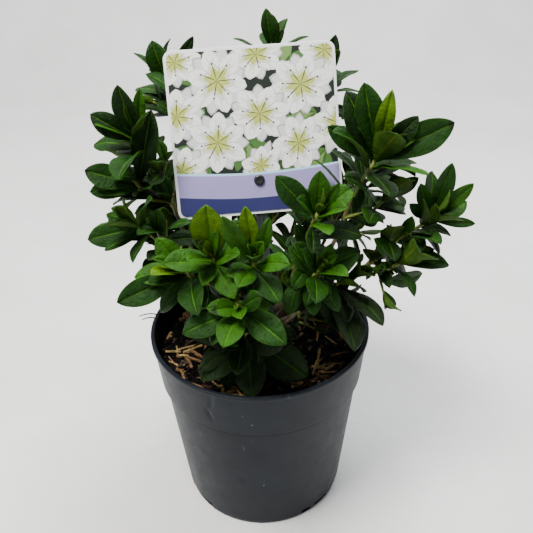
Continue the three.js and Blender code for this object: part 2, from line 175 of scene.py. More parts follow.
def makeMottleGroup():
    # a colour that drifts between two tones at a given scale
    group, ins, outs = nodeGroup(
        "mottle",
        [("Tone", "NodeSocketColor", (1, 1, 1, 1)), ("Other Tone", "NodeSocketColor", (0, 0, 0, 1)),
         ("Scale", "NodeSocketFloat", 100.0), ("Sharpness", "NodeSocketFloat", 1.5)],
        [("Color", "NodeSocketColor"), ("Mask", "NodeSocketFloat")])
    place = addNode(group, "ShaderNodeTexCoord").outputs["Object"]
    drift = addNode(group, "ShaderNodeTexNoise", {
        "Vector": place, "Scale": ins.outputs["Scale"], "Detail": 4.0, "Roughness": 0.6})
    centred = mathNode(group, "SUBTRACT", drift.outputs["Fac"], 0.5)
    spread = mathNode(group, "MULTIPLY", centred, ins.outputs["Sharpness"])
    mask = addNode(group, "ShaderNodeClamp", {"Value": mathNode(group, "ADD", spread, 0.5)}).outputs[0]
    color = mixColors(group, mask, ins.outputs["Tone"], ins.outputs["Other Tone"])
    group.links.new(color, outs.inputs["Color"])
    group.links.new(mask, outs.inputs["Mask"])
    return group


def makeGrainGroup():
    # fine relief, for the height of a Bump node
    group, ins, outs = nodeGroup(
        "grain",
        [("Scale", "NodeSocketFloat", 800.0), ("Stretch", "NodeSocketVector", (1, 1, 1))],
        [("Height", "NodeSocketFloat")])
    place = addNode(group, "ShaderNodeTexCoord").outputs["Object"]
    stretched = addNode(
        group, "ShaderNodeVectorMath", {0: place, 1: ins.outputs["Stretch"]}, operation="MULTIPLY").outputs[0]
    grain = addNode(group, "ShaderNodeTexNoise", {
        "Vector": stretched, "Scale": ins.outputs["Scale"], "Detail": 5.0, "Roughness": 0.65})
    group.links.new(grain.outputs["Fac"], outs.inputs["Height"])
    return group


def makeDropsGroup():
    # sparse round beads, as a height and a mask
    group, ins, outs = nodeGroup(
        "drops",
        [("Scale", "NodeSocketFloat", 480.0), ("Share", "NodeSocketFloat", 0.13),
         ("Size", "NodeSocketFloat", 0.27)],
        [("Height", "NodeSocketFloat"), ("Mask", "NodeSocketFloat")])
    place = addNode(group, "ShaderNodeTexCoord").outputs["Object"]
    cells = addNode(group, "ShaderNodeTexVoronoi", {"Vector": place, "Scale": ins.outputs["Scale"]})
    drawn = addNode(group, "ShaderNodeSeparateColor", {"Color": cells.outputs["Color"]}).outputs[0]
    chosen = mathNode(group, "LESS_THAN", drawn, ins.outputs["Share"])
    share = mathNode(group, "DIVIDE", cells.outputs["Distance"], ins.outputs["Size"])
    square = mathNode(group, "SUBTRACT", 1.0, mathNode(group, "MULTIPLY", share, share))
    dome = mathNode(group, "SQRT", mathNode(group, "MAXIMUM", square, 0.0))
    height = mathNode(group, "MULTIPLY", dome, chosen)
    group.links.new(height, outs.inputs["Height"])
    group.links.new(mathNode(group, "GREATER_THAN", height, 0.05), outs.inputs["Mask"])
    return group


mottleGroup = makeMottleGroup()
grainGroup = makeGrainGroup()
dropsGroup = makeDropsGroup()


def startMaterial(name, color, roughness):
    material = bpy.data.materials.new(name)
    material.use_nodes = True
    tree = material.node_tree
    shader = tree.nodes["Principled BSDF"]
    shader.inputs["Base Color"].default_value = (*color, 1)
    shader.inputs["Roughness"].default_value = roughness
    material.diffuse_color = (*color, 1)
    return material, tree, shader


def mottled(tree, shader, tone, other, scale, sharpness=1.5):
    node = addNode(tree, "ShaderNodeGroup", {
        "Tone": (*tone, 1), "Other Tone": (*other, 1), "Scale": scale, "Sharpness": sharpness,
    }, node_tree=mottleGroup)
    tree.links.new(node.outputs["Color"], shader.inputs["Base Color"])


def grained(tree, shader, scale, depth, stretch=(1, 1, 1)):
    grain = addNode(tree, "ShaderNodeGroup", {"Scale": scale, "Stretch": stretch}, node_tree=grainGroup)
    bump = addNode(tree, "ShaderNodeBump", {"Height": grain.outputs["Height"], "Distance": depth})
    tree.links.new(bump.outputs["Normal"], shader.inputs["Normal"])
    return bump


print("node groups built")

leafFinish = {
    # one plain green for each shade of leaf, dealt out by mass and leaf by leaf
    "shades": {
        "leafOld": (0.012, 0.029, 0.006), "leafDeep": (0.005, 0.024, 0.001),
        "leafMid": (0.009, 0.048, 0.001), "leafBright": (0.024, 0.100, 0.001),
        "leafYoung": (0.085, 0.180, 0.001),
    },
    # the rest of a leaf: colour and roughness
    "details": {
        "leafRib": ((0.050, 0.145, 0.006), 0.45), "leafMargin": ((0.026, 0.095, 0.002), 0.45),
        "leafUnder": ((0.050, 0.115, 0.010), 0.62), "leafPetiole": ((0.130, 0.170, 0.012), 0.5),
    },
    "youngShare": 0.2, "ageing": 0.35, "scatter": 0.42, "steps": [0.05, 0.24, 0.58, 0.92],
    "roughness": 0.42, "wetRoughness": 0.08, "specular": 0.13, "tone": 0.42, "drift": 110.0, "sharpness": 2.2,
    "grainScale": 420.0, "grainDepth": 0.0013, "dropDepth": 0.0005,
}


def bladeMaterial(name, color, roughness, wet=True):
    # a green that drifts darker, with fine relief, and beads of water where it is wet
    material, tree, shader = startMaterial(name, color, roughness)
    darker = tuple(channel * leafFinish["tone"] for channel in color)
    mottled(tree, shader, color, darker, leafFinish["drift"], leafFinish["sharpness"])
    shader.inputs["Specular IOR Level"].default_value = leafFinish["specular"]
    bump = grained(tree, shader, leafFinish["grainScale"], leafFinish["grainDepth"])
    if wet:
        drops = addNode(tree, "ShaderNodeGroup", node_tree=dropsGroup)
        beads = addNode(tree, "ShaderNodeBump", {
            "Height": drops.outputs["Height"], "Distance": leafFinish["dropDepth"],
            "Normal": bump.outputs["Normal"]})
        tree.links.new(beads.outputs["Normal"], shader.inputs["Normal"])
        glossier = leafFinish["wetRoughness"] - roughness
        wetter = mathNode(tree, "MULTIPLY_ADD", drops.outputs["Mask"], glossier, roughness)
        tree.links.new(wetter, shader.inputs["Roughness"])
    return material


leafShades = list(leafFinish["shades"])
leafMaterials = [
    bladeMaterial(name, color, leafFinish["roughness"]) for name, color in leafFinish["shades"].items()]
leafMaterials += [
    bladeMaterial(name, *finish, wet=False) for name, finish in leafFinish["details"].items()]
ribSlot, marginSlot, underSlot, petioleSlot = range(len(leafShades), len(leafMaterials))

# The plant's sizes, in millimetres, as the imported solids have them
pot = {
    "height": 158, "rimRadius": 85, "lipHeight": 3.5, "lipWidth": 1.2, "collarHeight": 39,
    "collarFootRadius": 80.5, "bodyTopRadius": 78, "shoulder": 2.2, "footRadius": 67, "footBevel": 3,
    "wall": 1.8, "floor": 2.5, "drainHoles": 6, "drainRadius": 5, "drainCircle": 50,
}
soil = {"top": 142, "mound": 3, "flatRadius": 26}
trunk = {"height": 27, "flareRadius": 11.5, "headRadius": 7.2, "lean": 1.5}
bough = {"baseRadius": 2.2, "tipRadius": 1.5, "bow": 0.16}
twig = {"baseRadius": 1.7, "tipRadius": 1.3, "steps": 3, "beyond": 1.5, "forkSpacing": 0.16}
leaf = {"length": 46, "widthShare": 0.5, "thickShare": 0.034, "fold": 0.16, "sunk": 0.5}
leafTries = [(1, 0), (0.95, 18), (0.95, -18), (0.85, 38), (0.85, -38), (0.7, 8), (0.7, -24), (0.6, 60)]
rosette = {
    "leaves": 9, "depth": 12, "goldenAngle": 137.5, "outerTilt": 84, "innerTilt": 14, "innerShare": 0.5,
}
sideShoot = {"leaves": 5, "length": 24, "leafShare": 0.74, "starts": [0.42]}
stemLeaves = {"starts": [0.2, 0.5, 0.8], "tilt": 62, "leafShare": 0.84}
light = np.array([0, -0.3, 0.4])
stemLength = 36
leanFocus = 12
gap = 0.3
card = {
    "width": 119, "height": 116, "corner": 6, "thickness": 0.9, "lean": 22, "yaw": 4.7, "roll": 1.2,
    "footX": 10, "footY": -36, "centreAlong": 175.5, "pinDrop": 34,
}
peg = {"width": 8, "thickness": 1.4}
pin = {"headRadius": 3.9, "headHeight": 2.2}

# Each mass: the size of its leaves, the height on the trunk where its bough starts, the shade of its leaves
# from 0 (deep) to 1 (young), and its shoots as azimuth, reach and rise above the compost.
masses = {
    "front": {
        "seed": 11, "size": 0.96, "start": 15, "shade": 0.62,
        "shoots": [(243, 62, 111), (227, 70, 99), (269, 62, 111), (262, 81, 90)],
    },
    "front_right": {
        "seed": 12, "size": 0.88, "start": 10, "shade": 0.50,
        "shoots": [(311, 60, 135), (308, 66, 97)],
    },
    "front_skirt": {
        "seed": 13, "size": 1.12, "start": 5, "shade": -0.02,
        "shoots": [(256, 46, 38)],
    },
    "right_skirt": {
        "seed": 14, "size": 1.2, "start": 5, "shade": -0.05,
        "shoots": [(336, 66, 72)],
    },
    "right_tall": {
        "seed": 15, "size": 1.26, "start": 19, "shade": 0.50,
        "shoots": [(0, 83, 153), (8, 94, 116)],
    },
    "right_outer": {
        "seed": 16, "size": 0.94, "start": 12, "shade": 0.44,
        "shoots": [(358, 124, 108), (348, 106, 84)],
    },
    "left_upper": {
        "seed": 17, "size": 1, "start": 17, "shade": 0.44,
        "shoots": [(165, 84, 162), (173, 84, 134)],
    },
    "left_lower": {
        "seed": 18, "size": 1, "start": 9, "shade": 0.44,
        "shoots": [(189, 82, 113)],
    },
    "back_left_tall": {
        "seed": 19, "size": 1, "start": 21, "shade": 0.36,
        "shoots": [(135, 88, 188)],
    },
    "top": {
        "seed": 20, "size": 1, "start": 25, "shade": 0.30, "bow": -0.12,
        "shoots": [(79, 76, 208)],
    },
    "back_right_tall": {
        "seed": 21, "size": 1, "start": 17, "shade": 0.36,
        "shoots": [(53, 84, 184)],
    },
    "back": {
        "seed": 22, "size": 1, "start": 12, "shade": 0.30,
        "shoots": [(100, 112, 146), (80, 110, 92)],
    },
    "back_left": {
        "seed": 23, "size": 1, "start": 7, "shade": 0.30,
        "shoots": [(146, 104, 126), (134, 100, 78)],
    },
    "back_right": {
        "seed": 24, "size": 1, "start": 8, "shade": 0.30,
        "shoots": [(28, 106, 126), (44, 100, 78)],
    },
}
massNames = list(masses)


def polar(azimuth, reach, z):
    return np.array([reach * math.cos(math.radians(azimuth)), reach * math.sin(math.radians(azimuth)), z])


def shootTips(name):
    return [polar(azimuth, reach, soil["top"] + rise) for azimuth, reach, rise in masses[name]["shoots"]]


def shootDirection(tip):
    return unit(tip - (0, 0, soil["top"] + leanFocus))


def massFork(name):
    tips = shootTips(name)
    middle = sum(tips) / len(tips)
    lowest = min(tip[2] - soil["top"] for tip in tips)
    back = min(stemLength + (12 if len(tips) > 1 else 0), lowest * 0.6)
    return middle - shootDirection(middle) * back


def boughCurve(name, along):
    # points of a quadratic curve from inside the trunk to the mass's fork
    fork = massFork(name)
    start = np.array([0, 0, soil["top"] + masses[name]["start"]])
    bow = np.linalg.norm(fork - start) * masses[name].get("bow", bough["bow"])
    outwards = unit(fork * (1, 1, 0))
    middle = lerp(start, fork, 0.5) + outwards * bow - np.array([0, 0, bow * 0.5])
    t = np.atleast_1d(along)[:, None]
    return (1 - t) ** 2 * start + 2 * t * (1 - t) * middle + t ** 2 * fork


def spacedPoints(name, count):
    # evenly spaced along the curve
    shares = np.linspace(0, 1, 201)
    fine = boughCurve(name, shares)
    lengths = np.concatenate([[0], np.cumsum(np.linalg.norm(np.diff(fine, axis=0), axis=1))])
    return boughCurve(name, np.interp(np.linspace(0, lengths[-1], count + 1), lengths, shares))


def boughEnd(name):
    last = boughCurve(name, [0.9999, 1])
    return unit(last[1] - last[0])


# The space that each mass keeps to
def cardFrame():
    turn = Matrix.Rotation(math.radians(card["yaw"]), 4, "Z")
    leanBack = Matrix.Rotation(math.radians(90 - card["lean"]), 4, "X")
    roll = Matrix.Rotation(math.radians(card["roll"]), 4, "Z")
    place = turn @ leanBack @ roll
    foot = Vector((card["footX"], card["footY"], soil["top"]))
    place.translation = foot + place.to_3x3() @ Vector((0, card["centreAlong"], 0))
    return place


limbPoints = np.concatenate([spacedPoints(name, 48) for name in massNames])
anchors, anchorOwners = [], []
for owner, massName in enumerate(massNames):
    for tip in shootTips(massName):
        anchors += [tip, lerp(tip, massFork(massName), 0.6)]
        anchorOwners += [owner, owner]
anchors, anchorOwners = np.array(anchors), np.array(anchorOwners)
cardInverse = np.array(cardFrame().inverted())


def insideSpace(index, points):
    # whether every point is nearer to this mass's shoots than to any other's
    margin = 0.9
    distance = np.linalg.norm(points[:, None] - anchors[None], axis=2)
    own = distance[:, anchorOwners == index].min(axis=1) + margin
    return bool((distance[:, anchorOwners != index].min(axis=1) > own).all())


def clearOfLimbs(place):
    clearance = bough["baseRadius"] + 1
    across = np.cross(place["direction"], place["normal"])
    offset = limbPoints - place["root"]
    along = offset @ place["direction"]
    length = place["length"]
    clear = (along < length * 0.14) | (along > length + clearance)
    clear |= np.abs(offset @ across) > length * leaf["widthShare"] / 2 + clearance
    clear |= np.abs(offset @ place["normal"]) > clearance + length * 0.04
    return bool(clear.all())


def clearOfCard(points):
    clearance = 2.2
    local = points @ cardInverse[:3, :3].T + cardInverse[:3, 3]
    low, high = local.min(axis=0), local.max(axis=0)

    def spans(start, end, axis):
        return low[axis] < end + clearance and high[axis] > start - clearance

    half, rise = card["width"] / 2, card["height"] / 2
    before = low[2] > card["thickness"] + clearance
    behind = high[2] < -peg["thickness"] - clearance
    overCard = spans(-half, half, 0) and spans(-rise, rise, 1)
    overPeg = spans(-peg["width"] / 2, peg["width"] / 2, 0) and spans(-card["centreAlong"], -rise, 1)
    return before or behind or not (overCard or overPeg)


def potRadiusInside(z):
    collarFoot = pot["height"] - pot["collarHeight"]
    if z > collarFoot:
        outside = lerp(pot["collarFootRadius"], pot["rimRadius"], (z - collarFoot) / pot["collarHeight"])
        return outside - pot["lipWidth"] - pot["wall"]
    return lerp(pot["footRadius"], pot["bodyTopRadius"], z / collarFoot) - pot["wall"]


def clearOfPot(points):
    clearance = 1.5
    lowest = points[:, 2].min()
    if lowest > pot["height"] + clearance:
        return True
    reaches = np.hypot(points[:, 0], points[:, 1])
    within = reaches.max() < potRadiusInside(soil["top"]) - clearance and lowest > soil["top"] + clearance
    return bool(within or reaches.min() > pot["rimRadius"] + clearance)


def fits(index, points, inner=False):
    points = np.asarray(points)
    return (inner or insideSpace(index, points)) and clearOfCard(points) and clearOfPot(points)


# The rule that places the leaves
leafOutline = [(0.3, 0.66), (0.68, 0.98)]


def crossAxes(direction):
    helper = np.array([0, 0, 1.0]) if abs(direction[2]) < 0.9 else np.array([1.0, 0, 0])
    across = unit(np.cross(helper, direction))
    return across, np.cross(direction, across)


def leafPoints(place):
    root, direction, normal = place["root"], place["direction"], place["normal"]
    across = unit(np.cross(direction, normal))
    length = place["length"]
    halfWidth = length * leaf["widthShare"] / 2 * place.get("narrow", 1)

    def at(along, side, lift=0.0):
        reach = along * length - (0 if along else leaf["sunk"])
        rise = (lift - place["curl"] * along * along) * length + abs(side) * halfWidth * leaf["fold"]
        return root + direction * reach + across * side * halfWidth + normal * rise

    return {
        "left": [at(along, side) for along, side in leafOutline],
        "right": [at(along, -side) for along, side in leafOutline],
        "root": at(0, 0), "tip": at(1, 0),
        "over": at(0.45, 0, leaf["thickShare"] / 2), "under": at(0.45, 0, -leaf["thickShare"] / 2),
    }


def bladeFan(points):
    left, right, over = points["left"], points["right"], points["over"]
    ring = np.array([lerp(points["root"], over, 0.4), left[0], left[1], points["tip"], right[1], right[0]])
    faces = np.array([[ring[k], ring[(k + 1) % 6], over] for k in range(6)])
    return ring, faces


def volume(a, b, c, d):
    return (np.cross(b - a, c - a) * (d - a)).sum(axis=-1)


def anyPierces(rings, faces):
    # whether an edge of a ring passes through a face, for stacks of rings and faces of one length
    start = rings[:, :, None]
    end = np.roll(rings, -1, axis=1)[:, :, None]
    p, q, r = faces[:, None, :, 0], faces[:, None, :, 1], faces[:, None, :, 2]
    parted = (volume(p, q, r, start) > 0) != (volume(p, q, r, end) > 0)
    first, second, third = (volume(start, end, a, b) > 0 for a, b in ((p, q), (q, r), (r, p)))
    return bool((parted & (first == second) & (second == third)).any())


def turnedOff(random, way, tilt):
    # a direction that leaves way by tilt, to a drawn side and a little upwards
    across, over = crossAxes(way)
    around = random() * 2 * math.pi
    spread = math.sin(math.radians(tilt))
    turned = way * math.cos(math.radians(tilt)) + across * math.cos(around) * spread
    return unit(turned + over * math.sin(around) * spread + np.array([0, 0, 0.2]))


def facingUp(direction):
    # the normal of a leaf that points along direction with its upper side to the sky
    return unit(np.array([0, 0, 1]) - direction * direction[2])


def rosetteLeaves(random, tip, axis, count, size):
    across, over = crossAxes(axis)
    turn = random() * 360
    made = []
    for k in range(count):
        age = 1 - k / (count - 1)
        around = math.radians(turn + k * rosette["goldenAngle"] + (random() - 0.5) * 24)
        tilt = math.radians(lerp(rosette["innerTilt"], rosette["outerTilt"], age) + (random() - 0.5) * 18)
        grownShare = lerp(rosette["innerShare"], 1, math.sqrt(age)) * lerp(0.88, 1.1, random())
        curl = lerp(0.02, 0.16, age) * lerp(0.5, 1.5, random())
        outwards = across * math.cos(around) + over * math.sin(around)
        direction = axis * math.cos(tilt) + outwards * math.sin(tilt)
        facing = axis * math.sin(tilt) - outwards * math.cos(tilt) + light
        made.append({
            "root": tip - axis * age * rosette["depth"], "stem": axis, "direction": direction,
            "normal": unit(facing - direction * facing.dot(direction)),
            "length": leaf["length"] * size * grownShare, "curl": curl, "age": age})
    return made


def shootPath(start, leaving, tip, axis):
    # four points of the cubic, then the tip past the rosette
    collar = tip - axis * (rosette["depth"] + 1)
    bend = np.linalg.norm(start - collar) * 0.35
    return start, start + leaving * bend, collar - axis * bend, collar, tip + axis * twig["beyond"]


def cubicPoints(path, along):
    t = np.atleast_1d(along)[:, None]
    a, b, c, d = path[:4]
    return (1 - t) ** 3 * a + 3 * t * (1 - t) ** 2 * b + 3 * t ** 2 * (1 - t) * c + t ** 3 * d


def onShoot(path, share):
    # on the straight runs between the source's rings
    ring = min(int(share * twig["steps"]), twig["steps"] - 1)
    start, end = cubicPoints(path, [ring / twig["steps"], (ring + 1) / twig["steps"]])
    return lerp(start, end, share * twig["steps"] - ring), unit(end - start)


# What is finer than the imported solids' twigs and leaves
finer = {
    "seedStep": 500, "tries": leafTries[:4], "placedTries": [(1, 0), (0.9, 0), (0.8, 0)],
    "upOnly": ["right_outer"], "lowest": -0.1,
    "buds": {"leaves": 4, "tilt": (4, 20), "share": (0.3, 0.72), "narrow": 0.62},
    "collar": {"leaves": 5, "drop": 3, "size": 0.86},
    "stem": {"starts": [0.05, 0.3, 0.5, 0.7, 0.9], "tilt": (48, 76), "share": (0.5, 0.8)},
    # sprays on the shoots, in the shade near the trunk (their leaves all given the deepest green as painted
    # shade), and along the boughs
    "sprays": {"starts": [0.2, 0.6], "tilt": 55, "length": (9, 18), "size": (0.5, 0.7), "leaves": 5},
    "inner": {
        "masses": ["top", "back", "back_left_tall", "back_right_tall", "left_upper", "right_tall"],
        "starts": [0.22, 0.3, 0.38, 0.46], "tilt": (40, 80), "length": (14, 26), "size": 0.9, "leaves": 6,
    },
    "outer": {
        "starts": [0.45, 0.56, 0.66, 0.76, 0.86, 0.96], "tilt": (50, 75), "length": (12, 22),
        "size": (0.55, 0.75), "leaves": 5,
    },
}
# Leaves of their own: shoot, the way they lean and how far, the way they face, length, width and shade
placedLeaves = {
    "front": [
        (0, 250, 5, 264, 42, 1.05, "leafYoung"), (2, 192, 26, 262, 42, 0.62, "leafBright"),
        (2, 180, 6, 268, 42, 0.60, "leafYoung"), (2, 0, 16, 278, 44, 0.55, "leafBright"),
        (2, 350, 36, 284, 46, 0.45, "leafYoung"), (2, 0, 53, 278, 46, 0.75, "leafBright"),
        (1, 200, 104, 270, 48, 0.80, "leafMid"), (2, 0, 30, 276, 40, 0.60, "leafMid"),
    ],
    "front_right": [
        (0, 20, 3, 268, 32, 0.80, "leafBright"), (0, 180, 41, 266, 39, 0.85, "leafMid"),
        (0, 0, 30, 275, 27, 0.60, "leafBright"),
    ],
    "front_skirt": [
        (0, 217, 103, 290, 42, 0.62, "leafOld"), (0, 350, 92, 270, 54, 0.90, "leafOld"),
    ],
    "right_skirt": [
        (0, 345, 106, 270, 46, 0.85, "leafOld"),
    ],
    "right_tall": [
        (0, 325, 9, 256, 51, 0.52, "leafYoung"), (0, 165, 12, 272, 54, 0.78, "leafMid"),
        (0, 170, 26, 285, 52, 0.90, "leafDeep"), (0, 180, 53, 262, 42, 0.75, "leafMid"),
        (0, 0, 63, 272, 56, 0.75, "leafMid"), (0, 0, 40, 272, 40, 0.80, "leafDeep"),
        (1, 0, 54, 272, 33, 0.75, "leafMid"), (1, 0, 112, 275, 28, 0.75, "leafDeep"),
    ],
    "right_outer": [
        (0, 0, 13, 268, 45, 0.70, "leafMid"), (0, 0, 44, 275, 39, 0.60, "leafBright"),
        (0, 0, 97, 275, 33, 0.50, "leafMid"), (0, 180, 18, 265, 34, 0.70, "leafMid"),
        (0, 180, 50, 268, 23, 0.85, "leafMid"), (1, 180, 28, 265, 47, 0.55, "leafMid"),
    ],
    "left_upper": [
        (0, 10, 8, 268, 38, 0.50, "leafBright"), (0, 190, 12, 258, 42, 0.80, "leafDeep"),
        (0, 180, 56, 268, 37, 0.95, "leafDeep"), (1, 180, 71, 268, 38, 0.90, "leafMid"),
        (1, 180, 97, 268, 35, 0.80, "leafMid"), (1, 10, 16, 265, 56, 0.75, "leafDeep"),
    ],
    "left_lower": [
        (0, 190, 8, 262, 38, 0.60, "leafBright"), (0, 185, 101, 270, 38, 0.90, "leafMid"),
    ],
    "back_left_tall": [
        (0, 0, 31, 270, 41, 0.45, "leafDeep"), (0, 180, 14, 270, 34, 1.00, "leafMid"),
    ],
    "top": [
        (0, 0, 28, 270, 18, 0.70, "leafMid"), (0, 205, 8, 266, 31, 0.85, "leafMid"),
    ],
    "back_right_tall": [
        (0, 0, 14, 270, 38, 0.60, "leafDeep"),
    ],
}
placedAge = -1  # marks these leaves


# The twigs and leaves of one mass
class Mass:
    def __init__(self, name):
        self.name, self.index = name, massNames.index(name)
        self.seed, self.size, self.shade = (masses[name][key] for key in ("seed", "size", "shade"))
        self.twigs, self.leaves, self.rings, self.faces = [], [], [], []

    def tryLeaf(self, wanted, tries=leafTries, apart=True, inner=False):
        # a leaf keeps apart from its neighbours, and an inner one may stand among another mass's leaves
        for share, degrees in tries:
            turn = rotation(wanted["stem"], degrees)
            place = {**wanted, "length": wanted["length"] * share,
                     "direction": turn @ wanted["direction"], "normal": turn @ wanted["normal"]}
            points = leafPoints(place)
            tested = [*points["left"], *points["right"], points["tip"], points["over"],
                      lerp(points["root"], points["over"], 0.5), lerp(points["over"], points["tip"], 0.5)]
            if not fits(self.index, tested, inner) or not clearOfLimbs(place):
                continue
            ring, faces = bladeFan(points)
            if self.rings and apart:
                rings, allFaces = np.array(self.rings), np.array(self.faces)
                ones, oneFaces = np.broadcast_to(ring, rings.shape), np.broadcast_to(faces, allFaces.shape)
                if anyPierces(ones, allFaces) or anyPierces(rings, oneFaces):
                    continue
            self.leaves.append(place)
            self.rings.append(ring)
            self.faces.append(faces)
            return True
        return False

    def addTwig(self, path, tip, axis, main=False):
        self.twigs.append({"path": path, "tip": tip, "axis": axis, "main": main})

    def grow(self):
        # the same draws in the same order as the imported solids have
        random = seededRandom(self.seed)
        leaving = boughEnd(self.name)
        stemStart = massFork(self.name) + leaving * gap
        for k, tip in enumerate(shootTips(self.name)):
            axis = shootDirection(tip)
            point, way = onShoot(self.mainPath, k * twig["forkSpacing"]) if k else (stemStart, leaving)
            path = shootPath(point, way, tip, axis)
            if not k:
                self.mainPath = path
            self.addTwig(path, tip, axis, main=True)
            for place in rosetteLeaves(random, tip, axis, rosette["leaves"], self.size):
                self.tryLeaf(place)
            for share in stemLeaves["starts"]:
                root, stem = onShoot(path, share)
                direction = turnedOff(random, stem, stemLeaves["tilt"])
                length = leaf["length"] * self.size * stemLeaves["leafShare"] * lerp(0.8, 1.1, random())
                self.tryLeaf({"root": root, "stem": stem, "direction": direction, "length": length,
                              "normal": facingUp(direction), "curl": 0.1, "age": 1})
            for share in sideShoot["starts"]:
                node, way = onShoot(path, share)
                sideAxis = turnedOff(random, way, 48)
                end = node + sideAxis * sideShoot["length"] * lerp(0.8, 1.25, random())
                size = self.size * sideShoot["leafShare"]
                sprouts = rosetteLeaves(random, end, sideAxis, sideShoot["leaves"], size)
                if fits(self.index, [lerp(node, end, 0.5), end]):
                    self.addTwig((node, end + sideAxis * twig["beyond"]), end, sideAxis)
                    for place in sprouts:
                        self.tryLeaf(place)

    def reachOf(self, place):
        # how far a leaf's tip lies from the nearest shoot's
        end = leafPoints(place)["tip"]
        return min(np.linalg.norm(end - tip) for tip in shootTips(self.name))

    def tryFiner(self, wanted, inner=False):
        # a finer leaf keeps to the reach that the mass has already, or stands within the crown
        if self.name in finer["upOnly"] and wanted["direction"][2] < finer["lowest"]:
            return
        if inner or self.reachOf(wanted) < self.reach:
            self.tryLeaf(wanted, finer["tries"], inner=inner)

    def spray(self, random, start, axis, length, size, count, inner=False):
        # a short twig with a few leaves at its end
        end = start + axis * length
        if not fits(self.index, [lerp(start, end, 0.5), end], inner):
            return
        before = len(self.leaves)
        for place in rosetteLeaves(random, end, axis, count, size):
            # leaves in the shade near the trunk get the deepest green: painted shade
            if inner:
                place["shade"] = leafShades.index("leafDeep")
            self.tryFiner(place, inner)
        if len(self.leaves) > before:
            self.addTwig((start, end + axis), end, axis)

    def sprayOnBough(self, random, share, look, inner=False):
        before, after = boughCurve(self.name, [share - 0.01, share + 0.01])
        axis = turnedOff(random, unit(after - before), lerp(*look["tilt"], random()))
        length = lerp(*look["length"], random())
        size = look["size"] if inner else self.size * lerp(*look["size"], random())
        self.spray(random, lerp(before, after, 0.5), axis, length, size, look["leaves"], inner)

    def placeLeaves(self, shoot, tip, axis):
        for owner, toward, lean, facing, length, narrow, shade in placedLeaves.get(self.name, []):
            if owner != shoot:
                continue
            tilt = math.radians(lean)
            direction = unit(polar(toward, math.sin(tilt), math.cos(tilt)))
            front = polar(facing, 1, 0.5 * math.sin(tilt))
            self.tryLeaf({
                "root": tip - axis * 2, "stem": axis, "curl": -0.03, "age": placedAge, "narrow": narrow,
                "direction": direction, "normal": unit(front - direction * front.dot(direction)),
                "length": length, "shade": leafShades.index(shade),
            }, finer["placedTries"], apart=False)

    def growBuds(self, random, tip, axis, turn):
        # small upright leaves round the bud
        buds = finer["buds"]
        across, over = crossAxes(axis)
        for k in range(buds["leaves"]):
            around = turn + k * math.radians(rosette["goldenAngle"])
            tilt = math.radians(lerp(*buds["tilt"], random()))
            outwards = across * math.cos(around) + over * math.sin(around)
            self.tryFiner({
                "root": tip + axis * 0.5, "stem": axis, "curl": 0.02, "age": -0.2, "narrow": buds["narrow"],
                "direction": axis * math.cos(tilt) + outwards * math.sin(tilt),
                "normal": axis * math.sin(tilt) - outwards * math.cos(tilt),
                "length": leaf["length"] * self.size * lerp(*buds["share"], random())})

    def growAlong(self, random, tip, axis, path):
        # more leaves below the rosette and along the shoot, and short sprays
        collar, stem, sprays = finer["collar"], finer["stem"], finer["sprays"]
        foot = tip - axis * collar["drop"]
        for place in rosetteLeaves(random, foot, axis, collar["leaves"], self.size * collar["size"]):
            self.tryFiner(place)
        for share in stem["starts"]:
            root, way = onShoot(path, share)
            direction = turnedOff(random, way, lerp(*stem["tilt"], random()))
            self.tryFiner({
                "root": root, "stem": way, "direction": direction, "normal": facingUp(direction),
                "length": leaf["length"] * self.size * lerp(*stem["share"], random()), "curl": 0.1, "age": 1})
        for share in sprays["starts"]:
            node, way = onShoot(path, share)
            sideAxis = turnedOff(random, way, sprays["tilt"])
            length = lerp(*sprays["length"], random())
            size = self.size * lerp(*sprays["size"], random())
            self.spray(random, node, sideAxis, length, size, sprays["leaves"])

    def growFiner(self):
        random = seededRandom(self.seed + finer["seedStep"])
        self.reach = max(self.reachOf(place) for place in self.leaves)
        for shoot, made in enumerate([made for made in self.twigs if made["main"]]):
            turn = random() * 2 * math.pi
            self.placeLeaves(shoot, made["tip"], made["axis"])
            self.growBuds(random, made["tip"], made["axis"], turn)
            self.growAlong(random, made["tip"], made["axis"], made["path"])
        if self.name in finer["inner"]["masses"]:
            for share in finer["inner"]["starts"]:
                self.sprayOnBough(random, share, finer["inner"], inner=True)
        for share in finer["outer"]["starts"]:
            self.sprayOnBough(random, share, finer["outer"])


plant = [Mass(name) for name in massNames]
for mass in plant:
    mass.grow()
ruleLeaves = sum(len(mass.leaves) for mass in plant)
for mass in plant:
    mass.growFiner()
allLeaves = sum(len(mass.leaves) for mass in plant)
print("leaves by the source's rule:", ruleLeaves, "with the finer ones:", allLeaves)

